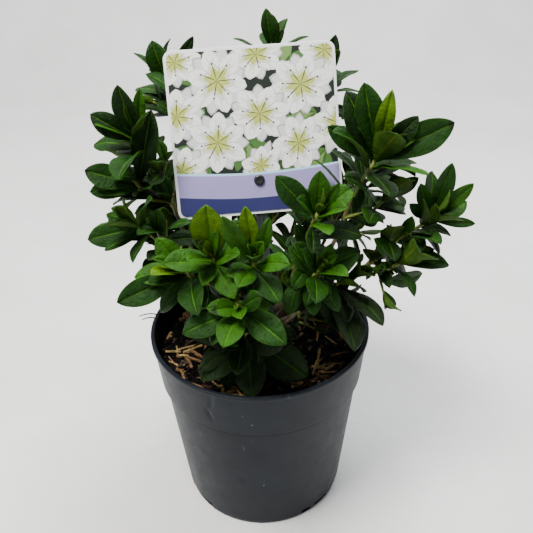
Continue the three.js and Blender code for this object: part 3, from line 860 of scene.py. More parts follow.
# Leaf blades: closed, thin, with a rib, a margin, side veins and a stalk
blade = {
    # columns across the upper side as shares of its half width, the under side's, and the rib's
    "seedStep": 900, "sides": [-1, -0.94, -0.78, -0.55, -0.3, -0.05, 0, 0.05, 0.3, 0.55, 0.78, 0.94, 1],
    "under": [3, 5, 7, 9], "rib": [5, 6], "foot": 0.07, "spacing": 1.8, "fewest": 8, "most": 26,
    "veins": 6, "veinLean": 0.28, "pucker": 0.95, "groove": 0.4, "keel": 0.5, "thick": 0.16, "rolled": 0.9,
    # how blades differ
    "slimness": (0.90, 1.04), "arch": 0.10, "arches": (0.2, 1.2), "folds": (0.5, 1.9), "youngFold": 0.12,
    "twist": (-0.22, 0.22), "wave": 0.5, "waves": (0.3, 1.3), "ripples": 2.3, "darkTips": 0.12,
    # a blade's length against its place, by mass: all leaves, the oldest, the hanging, and its width
    "grown": {"front": 0.86, "front_right": 0.9, "top": 1, "front_skirt": 1.05, "right_skirt": 1},
    "usual": 0.97, "wholeLeftOf": -38, "oldest": {"top": 0.72},
    "hanging": {"right_outer": 0.66, "left_lower": 0.72}, "slim": {"top": 0.78},
    "stalkEnd": 0.11, "stalkRadius": 0.62, "stalkTaper": [1.15, 1, 0.85, 0.35], "inTwig": 1.2,
}


def bladeWidth(t):
    # widest past the middle, with a long narrow foot and a rounded end
    return np.sin(np.pi * np.clip(t, 0, 1) ** 1.4) ** 0.7


def bladeSize(place):
    # a blade's length, and its width against the usual one
    mass, age = place["mass"], place["age"]
    whole = age == placedAge or place["root"][0] < blade["wholeLeftOf"]
    length = place["length"] * (1 if whole else blade["grown"].get(mass, blade["usual"]))
    length *= lerp(1, blade["oldest"].get(mass, 1), min(max(age, 0), 1))
    if place["direction"][2] < -0.15 and age != placedAge:
        length *= blade["hanging"].get(mass, 1)
    return length, place.get("narrow", 1) * blade["slim"].get(mass, 1)


def bladeFaces(count, shade, rib, margin, darkTip):
    # the upper side row by row with the under side below it, then a cap at each end
    columns, lower = len(blade["sides"]), len(blade["under"])
    base, last = (count + 1) * columns, count * columns
    faces, slots = [], []
    for k in range(count):
        a, below = k * columns, base + k * lower
        for j in range(columns - 1):
            faces.append([a + j, a + columns + j, a + columns + j + 1, a + j + 1])
            if darkTip and k >= count - 2:
                slots.append(leafShades.index("leafOld"))
            elif j in blade["rib"]:
                slots.append(rib)
            else:
                slots.append(margin if j in (0, columns - 2) else shade)
        row = [a, *range(below, below + lower), a + columns - 1]
        after = [a + columns, *range(below + lower, below + 2 * lower), a + 2 * columns - 1]
        for j in range(lower + 1):
            faces.append([row[j], row[j + 1], after[j + 1], after[j]])
            slots.append(petioleSlot if j == lower // 2 else underSlot)
    faces.append([*range(columns)] + [*range(base, base + lower)][::-1])
    below = base + count * lower
    faces.append([*range(last, last + columns)][::-1] + [*range(below, below + lower)])
    return faces, slots + [petioleSlot, shade]


def leafMesh(place, random):
    root, direction, normal, age = (place[key] for key in ("root", "direction", "normal", "age"))
    across = unit(np.cross(direction, normal))
    length, narrow = bladeSize(place)
    scale = length / leaf["length"]
    halfWidth = length * leaf["widthShare"] / 2 * narrow * lerp(*blade["slimness"], random())
    arch = blade["arch"] * lerp(*blade["arches"], random())
    fold = leaf["fold"] * lerp(*blade["folds"], random())
    fold += blade["youngFold"] if placedAge < age < 0.25 else 0
    twist, phase = lerp(*blade["twist"], random()), random() * 6.28
    wave = blade["wave"] * lerp(*blade["waves"], random()) * length / leaf["length"]
    darkTip = random() < blade["darkTips"]

    def axisAt(t):
        rise = (arch * 4 * t * (1 - t) * t - place["curl"] * t * t) * length
        return root + direction * (t * length) + normal * rise

    count = int(min(blade["most"], max(blade["fewest"], round(length / blade["spacing"]))))
    t = np.linspace(blade["foot"], 1, count + 1)[:, None]
    sides, lower = np.array(blade["sides"])[None], np.array(blade["under"])
    spread = sides * (np.maximum(bladeWidth(t), 0.02) * halfWidth)
    veins = np.abs(np.sin(np.pi * (blade["veins"] * (t - blade["veinLean"] * np.abs(sides)) + 0.3)))
    relief = blade["pucker"] * scale * veins ** 0.6 * (1 - sides ** 2) * np.minimum(1, np.abs(sides) * 4)
    relief = relief - blade["groove"] * scale * (np.abs(sides) < 0.01) * (1 - t * 0.7)
    ripple = wave * np.sin(blade["ripples"] * 2 * np.pi * t + phase + np.sign(sides))
    ripple = ripple * np.abs(sides) ** 3 * bladeWidth(t)
    rise = np.abs(spread) ** 1.15 * fold - scale * blade["rolled"] * sides ** 4 * bladeWidth(t) * (age > 0.3)
    rise = rise + ripple + spread * np.tan(twist * (t - 0.3))
    middle = np.array([axisAt(value) for value in t[:, 0]])[:, None]
    above = rise + relief + blade["thick"] * (1 - sides ** 4)
    top = middle + across * spread[..., None] + normal * above[..., None]
    keel = np.array([0, 1, 1, 0]) * blade["keel"] * scale * (1 - t * 0.8)
    below = rise[:, lower] - blade["thick"] - keel
    bottom = middle + across * spread[:, lower, None] + normal * below[..., None]
    verts = np.concatenate([top.reshape(-1, 3), bottom.reshape(-1, 3)])
    rib, margin = ribSlot, marginSlot
    if place["shade"] == leafShades.index("leafOld"):
        rib, margin = leafShades.index("leafBright"), place["shade"]
    faces, slots = bladeFaces(count, place["shade"], rib, margin, darkTip)
    stalk = [root - direction * blade["inTwig"], root + direction * 0.03 * length, axisAt(0.08),
             axisAt(blade["stalkEnd"])]
    stalk = [point - normal * blade["stalkRadius"] * 0.55 * (k > 1) for k, point in enumerate(stalk)]
    radii = np.array(blade["stalkTaper"]) * blade["stalkRadius"] * scale ** 0.5
    stalkVerts, stalkFaces = tube(stalk, radii, 5)
    faces += [[i + len(verts) for i in face] for face in stalkFaces]
    return np.concatenate([verts, stalkVerts]), faces, slots + [petioleSlot] * len(stalkFaces)


def shadeOf(mass, place, random):
    # young leaves are bright, and the others darken with age
    if place["age"] < 0:
        young = place["age"] == placedAge or random() < leafFinish["youngShare"]
        return leafShades.index("leafYoung" if young else "leafBright")
    value = mass.shade + (0.5 - place["age"]) * leafFinish["ageing"]
    value += (random() - 0.5) * leafFinish["scatter"]
    return int(np.searchsorted(leafFinish["steps"], value))


# Twigs: round, swelling and narrowing a little along their length, and a bud at each tip
twigFinish = {
    "sides": 7, "rings": 14, "sideRings": 6, "endShare": 0.76, "knot": 0.14, "greenFrom": 0.45,
    # the bud: length, radius, size on a side twig, and its outline as steps along and swell
    "budLength": 5.5, "budRadius": 1.5, "sideBud": 0.65,
    "budSteps": [-0.2, 0.1, 0.35, 0.6, 0.85, 1.0], "budSwell": [0.5, 0.85, 1.0, 0.8, 0.4, 0.08],
    # each bark: two tones, roughness, and the scale and depth of its drift and relief
    "barks": {
        "twigOlder": ((0.165, 0.175, 0.030), (0.085, 0.080, 0.022), 0.7, 160.0, 0.0004),
        "twigGreen": ((0.160, 0.230, 0.022), (0.125, 0.140, 0.022), 0.55, 120.0, 0.0003),
        "bud": ((0.160, 0.190, 0.030), (0.120, 0.070, 0.020), 0.5, 300.0, 0.0002),
    },
}


def twigMesh(made, builder):
    path, axis, main = made["path"], made["axis"], made["main"]
    if main:
        points = np.concatenate([cubicPoints(path, np.linspace(0, 1, twigFinish["rings"])), [path[4]]])
        radii = np.linspace(twig["baseRadius"], twig["tipRadius"], len(points))
    else:
        points = np.array([lerp(path[0], path[1], k) for k in np.linspace(0, 1, twigFinish["sideRings"])])
        radii = np.linspace(twig["tipRadius"], twigFinish["endShare"], len(points))
    radii = radii * (1 + twigFinish["knot"] * np.sin(np.arange(len(points)) * 2.4))
    verts, faces = tube(points, radii, twigFinish["sides"])
    green = np.arange(len(points) - 1) / (len(points) - 1) > (twigFinish["greenFrom"] if main else -1)
    slots = [int(green[k // twigFinish["sides"]]) for k in range(len(faces) - 2)] + [0, 1]
    builder.add(verts, faces, slots)
    size = 1 if main else twigFinish["sideBud"]
    along = np.array(twigFinish["budSteps"]) * twigFinish["budLength"] * size
    swell = np.array(twigFinish["budSwell"]) * twigFinish["budRadius"] * size
    builder.add(*tube([path[-1] + axis * step for step in along], swell, 6), 2)


def barkMaterial(name, color, other, roughness, scale, depth, stretch=(1, 1, 1)):
    material, tree, shader = startMaterial(name, color, roughness)
    mottled(tree, shader, color, other, scale, 2.4)
    grained(tree, shader, 700.0, depth, stretch)
    return material


twigMaterials = [barkMaterial(name, *finish) for name, finish in twigFinish["barks"].items()]
for mass in plant:
    random = seededRandom(mass.seed + blade["seedStep"])
    leaves = Builder()
    for place in mass.leaves:
        shade = shadeOf(mass, place, random)
        place["shade"], place["mass"] = place.get("shade", shade), mass.name
        leaves.add(*leafMesh(place, random))
    twigs = Builder()
    for made in mass.twigs:
        twigMesh(made, twigs)
    for builder, name, materials in ((leaves, "leaves", leafMaterials), (twigs, "twigs", twigMaterials)):
        obj = builder.make(f"{name}_{mass.name}", materials)
        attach(obj, "root")
        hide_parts(f"foliage_{mass.name}")
print("foliage built")


# Trunk and boughs, with the bark's relief
stems = {
    "voxel": 0.6, "sides": 16, "step": 2.0, "collar": 1.9, "collarLength": 7, "knots": 0.06,
    # relief of the bark: depth, scale, stretch up the stem, and slower lumps
    "relief": 0.3, "reliefScale": 0.42, "stretch": 0.28, "lumps": 0.35, "lumpScale": 0.16,
    # the trunk's outline as height and radius, its flutes, and how far they reach up
    "flare": [(0, 11.5), (2, 10.6), (4, 9.3), (8, 8.0), (15, 7.5), (23, 7.2), (25.6, 5.6), (27, 0.2)],
    "flutes": 5, "fluteDepth": 0.03, "rootDepth": 0.09, "rootHeight": 9,
    "bark": ((0.105, 0.085, 0.050), (0.038, 0.030, 0.018), 0.82, 210.0, 0.0007, (1, 1, 0.3)),
}


def turnedMesh(profile, sides, wobble=0.0):
    # a closed profile of [radius, height], from the axis round to the axis, turned about Z
    angles = np.arange(sides) * 2 * math.pi / sides
    swell = 1 + wobble * (np.sin(angles * 2 + 0.7) + 0.5 * np.sin(angles * 3 + 2))
    across, over = swell * np.cos(angles), swell * np.sin(angles)
    verts, faces, rings = [], [], []
    for radius, height in profile:
        rings.append(len(verts))
        if radius < 1e-6:
            verts.append((0, 0, height))
        else:
            verts += list(zip(radius * across, radius * over, [height] * sides))
    for k, (a, b) in enumerate(zip(rings, rings[1:])):
        onAxis, nextOnAxis = profile[k][0] < 1e-6, profile[k + 1][0] < 1e-6
        for j in range(sides):
            i = (j + 1) % sides
            if onAxis:
                faces.append([a, b + i, b + j])
            elif nextOnAxis:
                faces.append([a + j, a + i, b])
            else:
                faces.append([a + j, a + i, b + i, b + j])
    return np.array(verts, dtype=float), faces


def applied(obj):
    # the object with its modifiers made real
    depsgraph = bpy.context.evaluated_depsgraph_get()
    mesh = bpy.data.meshes.new_from_object(obj.evaluated_get(depsgraph))
    obj.modifiers.clear()
    old = obj.data
    obj.data = mesh
    bpy.data.meshes.remove(old)
    return obj


def barkRelief(place):
    # long fissures up the stem, on slower lumps
    drawn = Vector((place.x, place.y, place.z * stems["stretch"])) * stems["reliefScale"]
    ridges = noise.noise(drawn * 2.2) * 0.6 - abs(noise.noise(drawn)) * 1.6 + 0.3
    return stems["relief"] * ridges + stems["lumps"] * noise.noise(place * stems["lumpScale"])


def trunkMesh():
    heights, radii = zip(*stems["flare"])
    profile = [(float(np.interp(z, heights, radii)), z) for z in np.linspace(gap, trunk["height"], 60)]
    verts, faces = turnedMesh([(0, gap)] + profile + [(0, trunk["height"])], 72)
    angles = np.arctan2(verts[:, 1], verts[:, 0])
    flute = np.clip(1 - verts[:, 2] / stems["rootHeight"], 0, 1) * stems["rootDepth"] + stems["fluteDepth"]
    verts[:, :2] *= (1 + flute * np.sin(angles * stems["flutes"] + verts[:, 2] * 0.12))[:, None]
    verts[:, 0] += trunk["lean"] * verts[:, 2] / trunk["height"]
    verts[:, 2] += soil["top"]
    return verts, faces


def boughMesh(name):
    length = np.linalg.norm(np.diff(spacedPoints(name, 20), axis=0), axis=1).sum()
    points = spacedPoints(name, int(length / stems["step"]))
    t = np.linspace(0, 1, len(points))
    clear = np.maximum(0, t * length - trunk["headRadius"])
    swell = stems["collar"] * np.exp(-clear / stems["collarLength"])
    radii = lerp(bough["baseRadius"], bough["tipRadius"], t) + swell
    radii = radii * (1 + stems["knots"] * np.sin(t * 61 + masses[name]["seed"]))
    return tube(points, radii, stems["sides"])


def makeStems(material):
    builder = Builder()
    builder.add(*trunkMesh(), 0)
    for name in massNames:
        builder.add(*boughMesh(name), 0)
    obj = builder.make("stems", [material])
    remesh = obj.modifiers.new("fuse", "REMESH")
    remesh.mode = "VOXEL"
    remesh.voxel_size = stems["voxel"] * mm
    obj.modifiers.new("soften", "SMOOTH").iterations = 3
    mesh = applied(obj).data
    places, normals = np.empty(len(mesh.vertices) * 3), np.empty(len(mesh.vertices) * 3)
    mesh.vertices.foreach_get("co", places)
    mesh.vertices.foreach_get("normal", normals)
    steps = np.array([barkRelief(Vector(place) / mm) for place in places.reshape(-1, 3)])
    mesh.vertices.foreach_set("co", places + normals * np.repeat(steps, 3) * mm)
    mesh.polygons.foreach_set("use_smooth", np.full(len(mesh.polygons), True))
    mesh.update()
    return obj


stemObject = makeStems(barkMaterial("bark", *stems["bark"]))
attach(stemObject, "root")
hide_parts("trunk", *[f"bough_{name}" for name in massNames])
print("stems built")

# Pot: slate plastic with a stepped collar, a rolled lip, drain holes and slots at the foot
potLook = {
    "sides": 360, "wobble": 0.0022, "color": (0.006, 0.008, 0.012), "dusty": (0.010, 0.013, 0.018),
    "dustScale": 26.0, "roughness": 0.44, "scuffScale": 90.0, "scuffRoughness": 0.14, "specular": 0.13,
    "speck": (0.16, 0.15, 0.13), "speckScale": 150.0, "speckShare": 0.05, "speckSize": 0.09,
    "scratch": (0.035, 0.041, 0.048), "scratchScale": 190.0, "scratchReach": (1, 1, 0.14),
    "scratchShare": 0.66, "scratchContrast": 9.0, "grainScale": 1500.0, "grainDepth": 0.00008,
    # slots at the foot: azimuth and width
    "slots": [(36, 24), (133, 14), (156, 12), (216, 30), (301, 8), (315, 14), (337, 20)],
    "slotFoot": 0.9, "slotHeight": 6.0, "slotDepth": 7,
    # dents in the wall: azimuth, height, width, reach up and down, depth, and how far the dent slants
    "dents": [(245, 146, 1.6, 8, 1.1, 0.25), (243, 133, 1.4, 6, 0.9, -0.3), (257, 62, 2.2, 4, 0.5, 0)],
}


def arc(centre, radius, start, end, count):
    angles = np.radians(np.linspace(start, end, count))
    return [(centre[0] + radius * math.cos(a), centre[1] + radius * math.sin(a)) for a in angles]


def boxAt(centre, size, azimuth):
    verts = np.array([(x, y, z) for x in (-1, 1) for y in (-1, 1) for z in (-1, 1)]) * np.array(size) / 2
    faces = [[0, 1, 3, 2], [4, 6, 7, 5], [0, 4, 5, 1], [2, 3, 7, 6], [0, 2, 6, 4], [1, 5, 7, 3]]
    return verts @ rotation((0, 0, 1), azimuth).T + centre, faces


def potProfile():
    # from the middle of the foot, up the outside, over the lip, and down to the middle of the floor
    collarFoot, lipFoot = pot["height"] - pot["collarHeight"], pot["height"] - pot["lipHeight"]
    bodyTop, rim, inner = collarFoot - pot["shoulder"], pot["rimRadius"], potRadiusInside(pot["height"])
    foot = pot["footRadius"] - pot["footBevel"]
    profile = [(0, 0), (20, 0), (40, 0), (56, 0), (foot - 0.5, 0)]
    profile += arc((foot, pot["footBevel"]), pot["footBevel"] * 0.98, -80, -5, 6)
    profile += [(lerp(pot["footRadius"], pot["bodyTopRadius"], k), lerp(pot["footBevel"], bodyTop, k))
                for k in np.linspace(0.02, 0.985, 40)]
    profile += [(pot["bodyTopRadius"] - 0.3, bodyTop + 0.2), (pot["bodyTopRadius"] - 0.3, bodyTop + 0.9)]
    profile += arc((pot["collarFootRadius"] - 0.5, collarFoot - 0.1), 0.5, -85, 0, 5)
    lipRoot = rim - pot["lipWidth"]
    profile += [(lerp(pot["collarFootRadius"], lipRoot, k), lerp(collarFoot + 0.9, lipFoot - 0.3, k))
                for k in np.linspace(0.04, 1, 26)]
    profile += arc((rim - 0.8, lipFoot + 0.8), 0.8, -75, 0, 4)
    profile += arc((rim - 0.8, pot["height"] - 0.8), 0.8, 0, 90, 6)
    profile += arc((inner + 0.6, pot["height"] - 0.6), 0.6, 90, 180, 4)
    levels = [lipFoot, 146, 138, collarFoot + 0.1, bodyTop, 80, 40, 10, pot["floor"]]
    profile += [(potRadiusInside(z), z) for z in levels]
    return profile + [(reach, pot["floor"]) for reach in (55, 40, 20, 0)]


def dent(verts):
    reaches, azimuths = np.hypot(verts[:, 0], verts[:, 1]), np.arctan2(verts[:, 1], verts[:, 0])
    for azimuth, height, width, reach, depth, slant in potLook["dents"]:
        up = verts[:, 2] - height
        aside = (azimuths - math.radians(azimuth) + math.pi) % (2 * math.pi) - math.pi
        off = aside * reaches - up * slant
        depths = depth * np.exp(-(off / width) ** 2 - (up / reach) ** 2) * (reaches > 60)
        verts[:, :2] *= (1 - depths / np.maximum(reaches, 1))[:, None]


def makePot(material):
    verts, faces = turnedMesh(potProfile(), potLook["sides"], potLook["wobble"])
    dent(verts)
    obj = meshObject("pot_shell", verts, faces, [material])
    cutter = Builder()
    drain = [(0, -4), (pot["drainRadius"], -4), (pot["drainRadius"], 6), (0, 6)]
    hole, holeFaces = turnedMesh(drain, 32)
    for k in range(pot["drainHoles"]):
        cutter.add(hole + polar((k + 0.5) * 360 / pot["drainHoles"], pot["drainCircle"], 0), holeFaces, 0)
    for azimuth, width in potLook["slots"]:
        foot, top = potLook["slotFoot"], potLook["slotHeight"]
        centre = polar(azimuth, pot["footRadius"] + 0.5, (foot + top) / 2)
        cutter.add(*boxAt(centre, (potLook["slotDepth"], width, top - foot), azimuth), 0)
    cutterObject = cutter.make("cutter", [material])
    cut = obj.modifiers.new("drain", "BOOLEAN")
    cut.object = cutterObject
    cut.solver = "EXACT"
    applied(obj)
    bpy.data.objects.remove(cutterObject)
    obj.data.set_sharp_from_angle(angle=math.radians(38))
    return obj


def potMaterial():
    look = potLook
    material, tree, shader = startMaterial("potPlastic", look["color"], look["roughness"])
    mottled(tree, shader, look["color"], look["dusty"], look["dustScale"], 2.0)
    shader.inputs["Specular IOR Level"].default_value = look["specular"]
    scuffs = addNode(tree, "ShaderNodeGroup", {
        "Scale": look["scuffScale"], "Sharpness": 1.6}, node_tree=mottleGroup)
    glossiest = look["roughness"] - look["scuffRoughness"] / 2
    rough = mathNode(tree, "MULTIPLY_ADD", scuffs.outputs["Mask"], look["scuffRoughness"], glossiest)
    tree.links.new(rough, shader.inputs["Roughness"])
    # a few pale specks of dust and grit
    specks = addNode(tree, "ShaderNodeGroup", {
        "Scale": look["speckScale"], "Share": look["speckShare"], "Size": look["speckSize"],
    }, node_tree=dropsGroup)
    plain = shader.inputs["Base Color"].links[0].from_socket
    speckled = mixColors(tree, specks.outputs["Mask"], plain, (*look["speck"], 1))
    # faint scratches up and down the wall
    fine = addNode(tree, "ShaderNodeGroup", {
        "Scale": look["scratchScale"], "Stretch": look["scratchReach"]}, node_tree=grainGroup)
    above = mathNode(tree, "SUBTRACT", fine.outputs["Height"], look["scratchShare"])
    sharp = mathNode(tree, "MULTIPLY", above, look["scratchContrast"])
    mask = addNode(tree, "ShaderNodeClamp", {"Value": sharp}).outputs[0]
    color = mixColors(tree, mask, speckled, (*look["scratch"], 1))
    tree.links.new(color, shader.inputs["Base Color"])
    grained(tree, shader, look["grainScale"], look["grainDepth"])
    return material


potObject = makePot(potMaterial())
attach(potObject, "root")
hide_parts("pot")
print("pot built")

# Compost: a crumbly bed, with crumbs, bark chips and straw strewn over it
compostLook = {
    "rings": 84, "sectors": 220, "lumps": 1.7, "crumbs": 2000, "chips": 150, "straws": 30,
    "crumbSize": (0.7, 2.3), "bedding": 0.6, "seed": 71,
    "roughness": 0.9, "specular": 0.1, "tone": 0.3, "drift": 330.0,
    "grainScale": 1100.0, "grainDepth": 0.0008,
    "shades": {
        "peat": (0.004, 0.003, 0.0025), "crumbDark": (0.009, 0.006, 0.005),
        "chipBrown": (0.075, 0.032, 0.016), "chipTan": (0.300, 0.170, 0.078),
        "chipStraw": (0.430, 0.300, 0.120), "chipGrey": (0.085, 0.062, 0.045),
    },
    # where more chips lie: azimuth, reach, spread, chips, shade, and the way most of them point
    "drifts": [
        (203, 64, 17, 9, 3, 128), (188, 60, 13, 6, 4, 60), (150, 62, 14, 9, 3, 15), (252, 68, 10, 4, 4, 165),
        (300, 54, 14, 6, 3, 70), (322, 60, 13, 6, 4, 50), (308, 62, 10, 5, 2, 150), (18, 70, 12, 9, 2, 80),
        (226, 60, 12, 4, 3, 140),
    ],
    # dry stalks that hang over the rim: azimuth, reach and height of three points
    "stalks": [
        [(166, 76, 148), (168, 86, 160.5), (172, 98, 157)],
        [(168, 78, 147), (171, 87, 159.5), (177, 93, 160)],
    ],
}


def soilHeight(x, y):
    reach = math.hypot(x, y)
    mid = lerp(soil["flatRadius"], pot["rimRadius"], 0.5)
    edge = potRadiusInside(soil["top"])
    heights = [soil["top"], soil["top"], soil["top"] - soil["mound"] * 0.3, soil["top"] - soil["mound"]]
    base = float(np.interp(reach, [0, soil["flatRadius"], mid, edge], heights))
    fade = min(1.0, max(0.0, (reach - 11) / 6))
    lumps = noise.noise(Vector((x, y, 3)) * 0.11) * 1.1 + noise.noise(Vector((x, y, 7)) * 0.3) * 0.8
    lumps += noise.noise(Vector((x, y, 1)) * 0.75) * 0.55
    return base + compostLook["lumps"] * lumps * fade


def makeCompost(materials):
    sectors, rings = compostLook["sectors"], compostLook["rings"]
    edge, foot = potRadiusInside(soil["top"]) - compostLook["bedding"], pot["floor"] + 0.4
    angles = [float(a) for a in np.arange(sectors) * 2 * math.pi / sectors]
    verts = [(0, 0, soilHeight(0, 0))]
    for reach in np.linspace(0, edge, rings + 1)[1:]:
        places = [(reach * math.cos(a), reach * math.sin(a)) for a in angles]
        verts += [(x, y, soilHeight(x, y)) for x, y in places]
    for z in (130, 119, 60, foot):
        reach = potRadiusInside(z) - compostLook["bedding"]
        verts += [(reach * math.cos(a), reach * math.sin(a), z) for a in angles]
    verts.append((0, 0, foot))
    faces = [[0, 1 + j, 1 + (j + 1) % sectors] for j in range(sectors)]
    faces += ringFaces(sectors, rings + 4, 1, flipped=True)
    last = 1 + (rings + 3) * sectors
    faces += [[last + (j + 1) % sectors, last + j, len(verts) - 1] for j in range(sectors)]
    return meshObject("compost", verts, faces, materials[:1])


def shard(random, centre, length, width, thick, azimuth, tilt):
    # a splinter with uneven ends, laid at azimuth and tipped by tilt
    verts = []
    for along, share in ((-0.5, 0.8), (-0.18, 1.0), (0.2, 0.95), (0.5, 0.7)):
        taper = share * lerp(0.85, 1.1, random())
        bend = math.sin((along + 0.5) * math.pi) * length * 0.03
        for y, z in ((-1, -1), (1, -1), (1, 1), (-1, 1)):
            aside = y * width / 2 * taper + lerp(-0.12, 0.12, random()) * width
            verts.append((along * length, aside, z * thick / 2 * lerp(0.8, 1.1, random()) + bend))
    faces = [[3, 2, 1, 0], [12, 13, 14, 15]] + ringFaces(4, 4)
    rolled = rotation((1, 0, 0), lerp(-40, 40, random()))
    turn = rotation((0, 0, 1), azimuth) @ rotation((0, 1, 0), tilt) @ rolled
    return np.array(verts) @ turn.T + centre, faces


def crumb(random, centre, size):
    # an uneven lump of twelve points
    golden = (1 + 5 ** 0.5) / 2
    points = [(0, a, b * golden) for a in (-1, 1) for b in (-1, 1)]
    points = np.array(points + [(a, b, 0) for _, a, b in points] + [(b, 0, a) for _, a, b in points])
    points = points / 1.9 * size * np.array([lerp(0.7, 1.2, random()) for _ in range(12)])[:, None]
    return points * (1, lerp(0.7, 1, random()), lerp(0.55, 0.9, random())) + centre


def convexFaces(points):
    # the triangles of a convex set of points, wound outwards
    faces = []
    for a in range(len(points)):
        for b in range(len(points)):
            for c in range(len(points)):
                if a < b and a < c and b != c:
                    normal = np.cross(points[b] - points[a], points[c] - points[a])
                    if np.all((points - points[a]) @ normal < 1e-9):
                        faces.append([a, b, c])
    return faces


hullFaces = convexFaces(crumb(lambda: 0.5, np.zeros(3), 1.0) / (1, 0.85, 0.725))


def makeLitter(materials):
    random = seededRandom(compostLook["seed"])
    builder = Builder()
    edge = potRadiusInside(soil["top"]) - 3

    def between(low, high):
        return lerp(low, high, random())

    def lay(azimuth, reach, length, width, thick, slot, way=None):
        place = polar(azimuth, min(reach, edge - length * 0.35), 0)
        if np.hypot(place[0], place[1]) < trunk["flareRadius"] + 2:
            return
        place[2] = soilHeight(place[0], place[1]) + thick * 0.3 + random() * 1.6
        way = random() * 360 if way is None else way
        verts, faces = shard(random, place, length, width, thick, way, between(-14, 14))
        if np.hypot(verts[:, 0], verts[:, 1]).max() < edge + 1.5:
            builder.add(verts, faces, slot)

    for k in range(compostLook["crumbs"]):
        place = polar(random() * 360, edge * math.sqrt(random()), 0)
        if np.hypot(place[0], place[1]) > trunk["flareRadius"] + 1:
            size = lerp(*compostLook["crumbSize"], random() ** 2)
            place[2] = soilHeight(place[0], place[1]) + size * 0.2
            points = crumb(random, place, size)
            builder.add(points, hullFaces, 1 if random() < 0.8 else 5)
    for k in range(compostLook["chips"]):
        shade = 2 + int(random() * 4) if random() < 0.5 else 1
        azimuth, reach = random() * 360, edge * math.sqrt(random())
        lay(azimuth, reach, between(4, 15), between(1.2, 3.0), between(0.8, 1.8), shade)
    for k in range(compostLook["straws"]):
        azimuth, reach = random() * 360, edge * math.sqrt(random())
        lay(azimuth, reach, between(8, 20), between(0.6, 1.2), 0.6, 4 if random() < 0.6 else 3)
    for azimuth, reach, spread, count, shade, way in compostLook["drifts"]:
        for k in range(count):
            out = reach + spread * (random() + random() - 1)
            aside = math.degrees(spread * (random() + random() - 1) / reach)
            length, width, thick = between(9, 25), between(1.0, 2.6), between(1.0, 2.0)
            slot = shade if random() < 0.7 else 2 + int(random() * 4)
            lay(azimuth + aside, out, length, width, thick, slot, way + 70 * (random() + random() - 1))
    for points in compostLook["stalks"]:
        a, b, c = (polar(*point) for point in points)
        bent = [(1 - t) ** 2 * a + 2 * t * (1 - t) * b + t ** 2 * c for t in np.linspace(0, 1, 12)]
        builder.add(*tube(bent, np.linspace(0.7, 0.4, 12), 5), 0)
    return builder.make("compost_chips", materials, smooth=False)


def litterMaterials():
    look, made = compostLook, []
    for name, color in look["shades"].items():
        material, tree, shader = startMaterial(name, color, look["roughness"])
        mottled(tree, shader, color, tuple(c * look["tone"] for c in color), look["drift"], 3.0)
        shader.inputs["Specular IOR Level"].default_value = look["specular"]
        grained(tree, shader, look["grainScale"], look["grainDepth"])
        made.append(material)
    return made


litterShades = litterMaterials()
for obj in (makeCompost(litterShades), makeLitter(litterShades)):
    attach(obj, "root")
    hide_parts("soil")
print("compost built")

# Picture card: a white plate, and its print as flat shapes laid a hair above one another
cardLook = {
    "border": 2.0, "edge": 0.16, "step": 0.004, "lift": 0.03, "roughness": 0.36, "coat": 0.25,
    "shades": {
        "cardWhite": (0.86, 0.86, 0.88), "printDark": (0.010, 0.016, 0.010),
        "printGreen": (0.060, 0.150, 0.030), "printLeaf": (0.150, 0.260, 0.070),
        "petal": (0.88, 0.88, 0.86), "petalShade": (0.40, 0.41, 0.40),
        "petalSoft": (0.66, 0.67, 0.66), "petalWarm": (0.66, 0.67, 0.46),
        "throat": (0.44, 0.49, 0.11), "stamen": (0.050, 0.040, 0.015),
        "lilac": (0.31, 0.27, 0.50), "indigo": (0.024, 0.026, 0.110), "skyLine": (0.42, 0.66, 0.86),
    },
    # blossoms: x, y, radius, turn, squash
    "blossoms": [
        (-52, 50, 20, 10, 0.8), (52, 52, 20, 50, 0.9), (4, 52, 22, 20, 0.75), (-24, 36, 23, 45, 0.95),
        (34, 30, 24, 12, 0.9), (-54, 14, 22, 30, 0.85), (58, 2, 22, 40, 0.8), (4, 12, 23, 5, 0.85),
        (-27, -6, 22, 25, 0.95), (30, -10, 22, 55, 0.8), (-54, -24, 20, 15, 0.9), (2, -24, 18, 35, 0.7),
    ],
    # layers of a blossom: shade, reach and width against its radius, turn, ruffle
    "layers": [
        ("petalShade", 1.0, 0.52, 30, 0.10), ("petalSoft", 0.94, 0.44, 30, 0.10),
        ("petalSoft", 1.0, 0.62, 0, 0.12), ("petal", 0.98, 0.54, 2, 0.12),
        ("petalWarm", 0.62, 0.30, 0, 0), ("petalSoft", 0.82, 0.05, -7, 0),
        ("petalSoft", 0.82, 0.05, 7, 0), ("throat", 0.44, 0.18, 0, 0), ("throat", 0.30, 0.14, 30, 0),
    ],
    "petals": 6, "stamens": 7,
    # leaves of the print: x, y, length, turn
    "sprigs": [
        (-42, 34, 24, 100), (20, 40, 24, 70), (54, 30, 20, 140), (-34, 18, 26, 200), (16, 26, 24, 250),
        (44, 10, 22, 190), (-46, -6, 24, 250), (-8, -4, 24, 290), (10, -14, 22, 330), (50, -16, 22, 230),
        (-34, -22, 24, 210), (26, -26, 22, 200),
    ],
    # bands at the foot: how high they reach, how far their top bows down, and shade
    "bands": [(-25, -3.5, "skyLine"), (-26.6, -3.5, "lilac"), (-42, -4.5, "indigo")],
}
cardShades = list(cardLook["shades"])
cardPlace = np.array(cardFrame())


def onCard(points):
    return np.asarray(points, dtype=float) @ cardPlace[:3, :3].T + cardPlace[:3, 3]


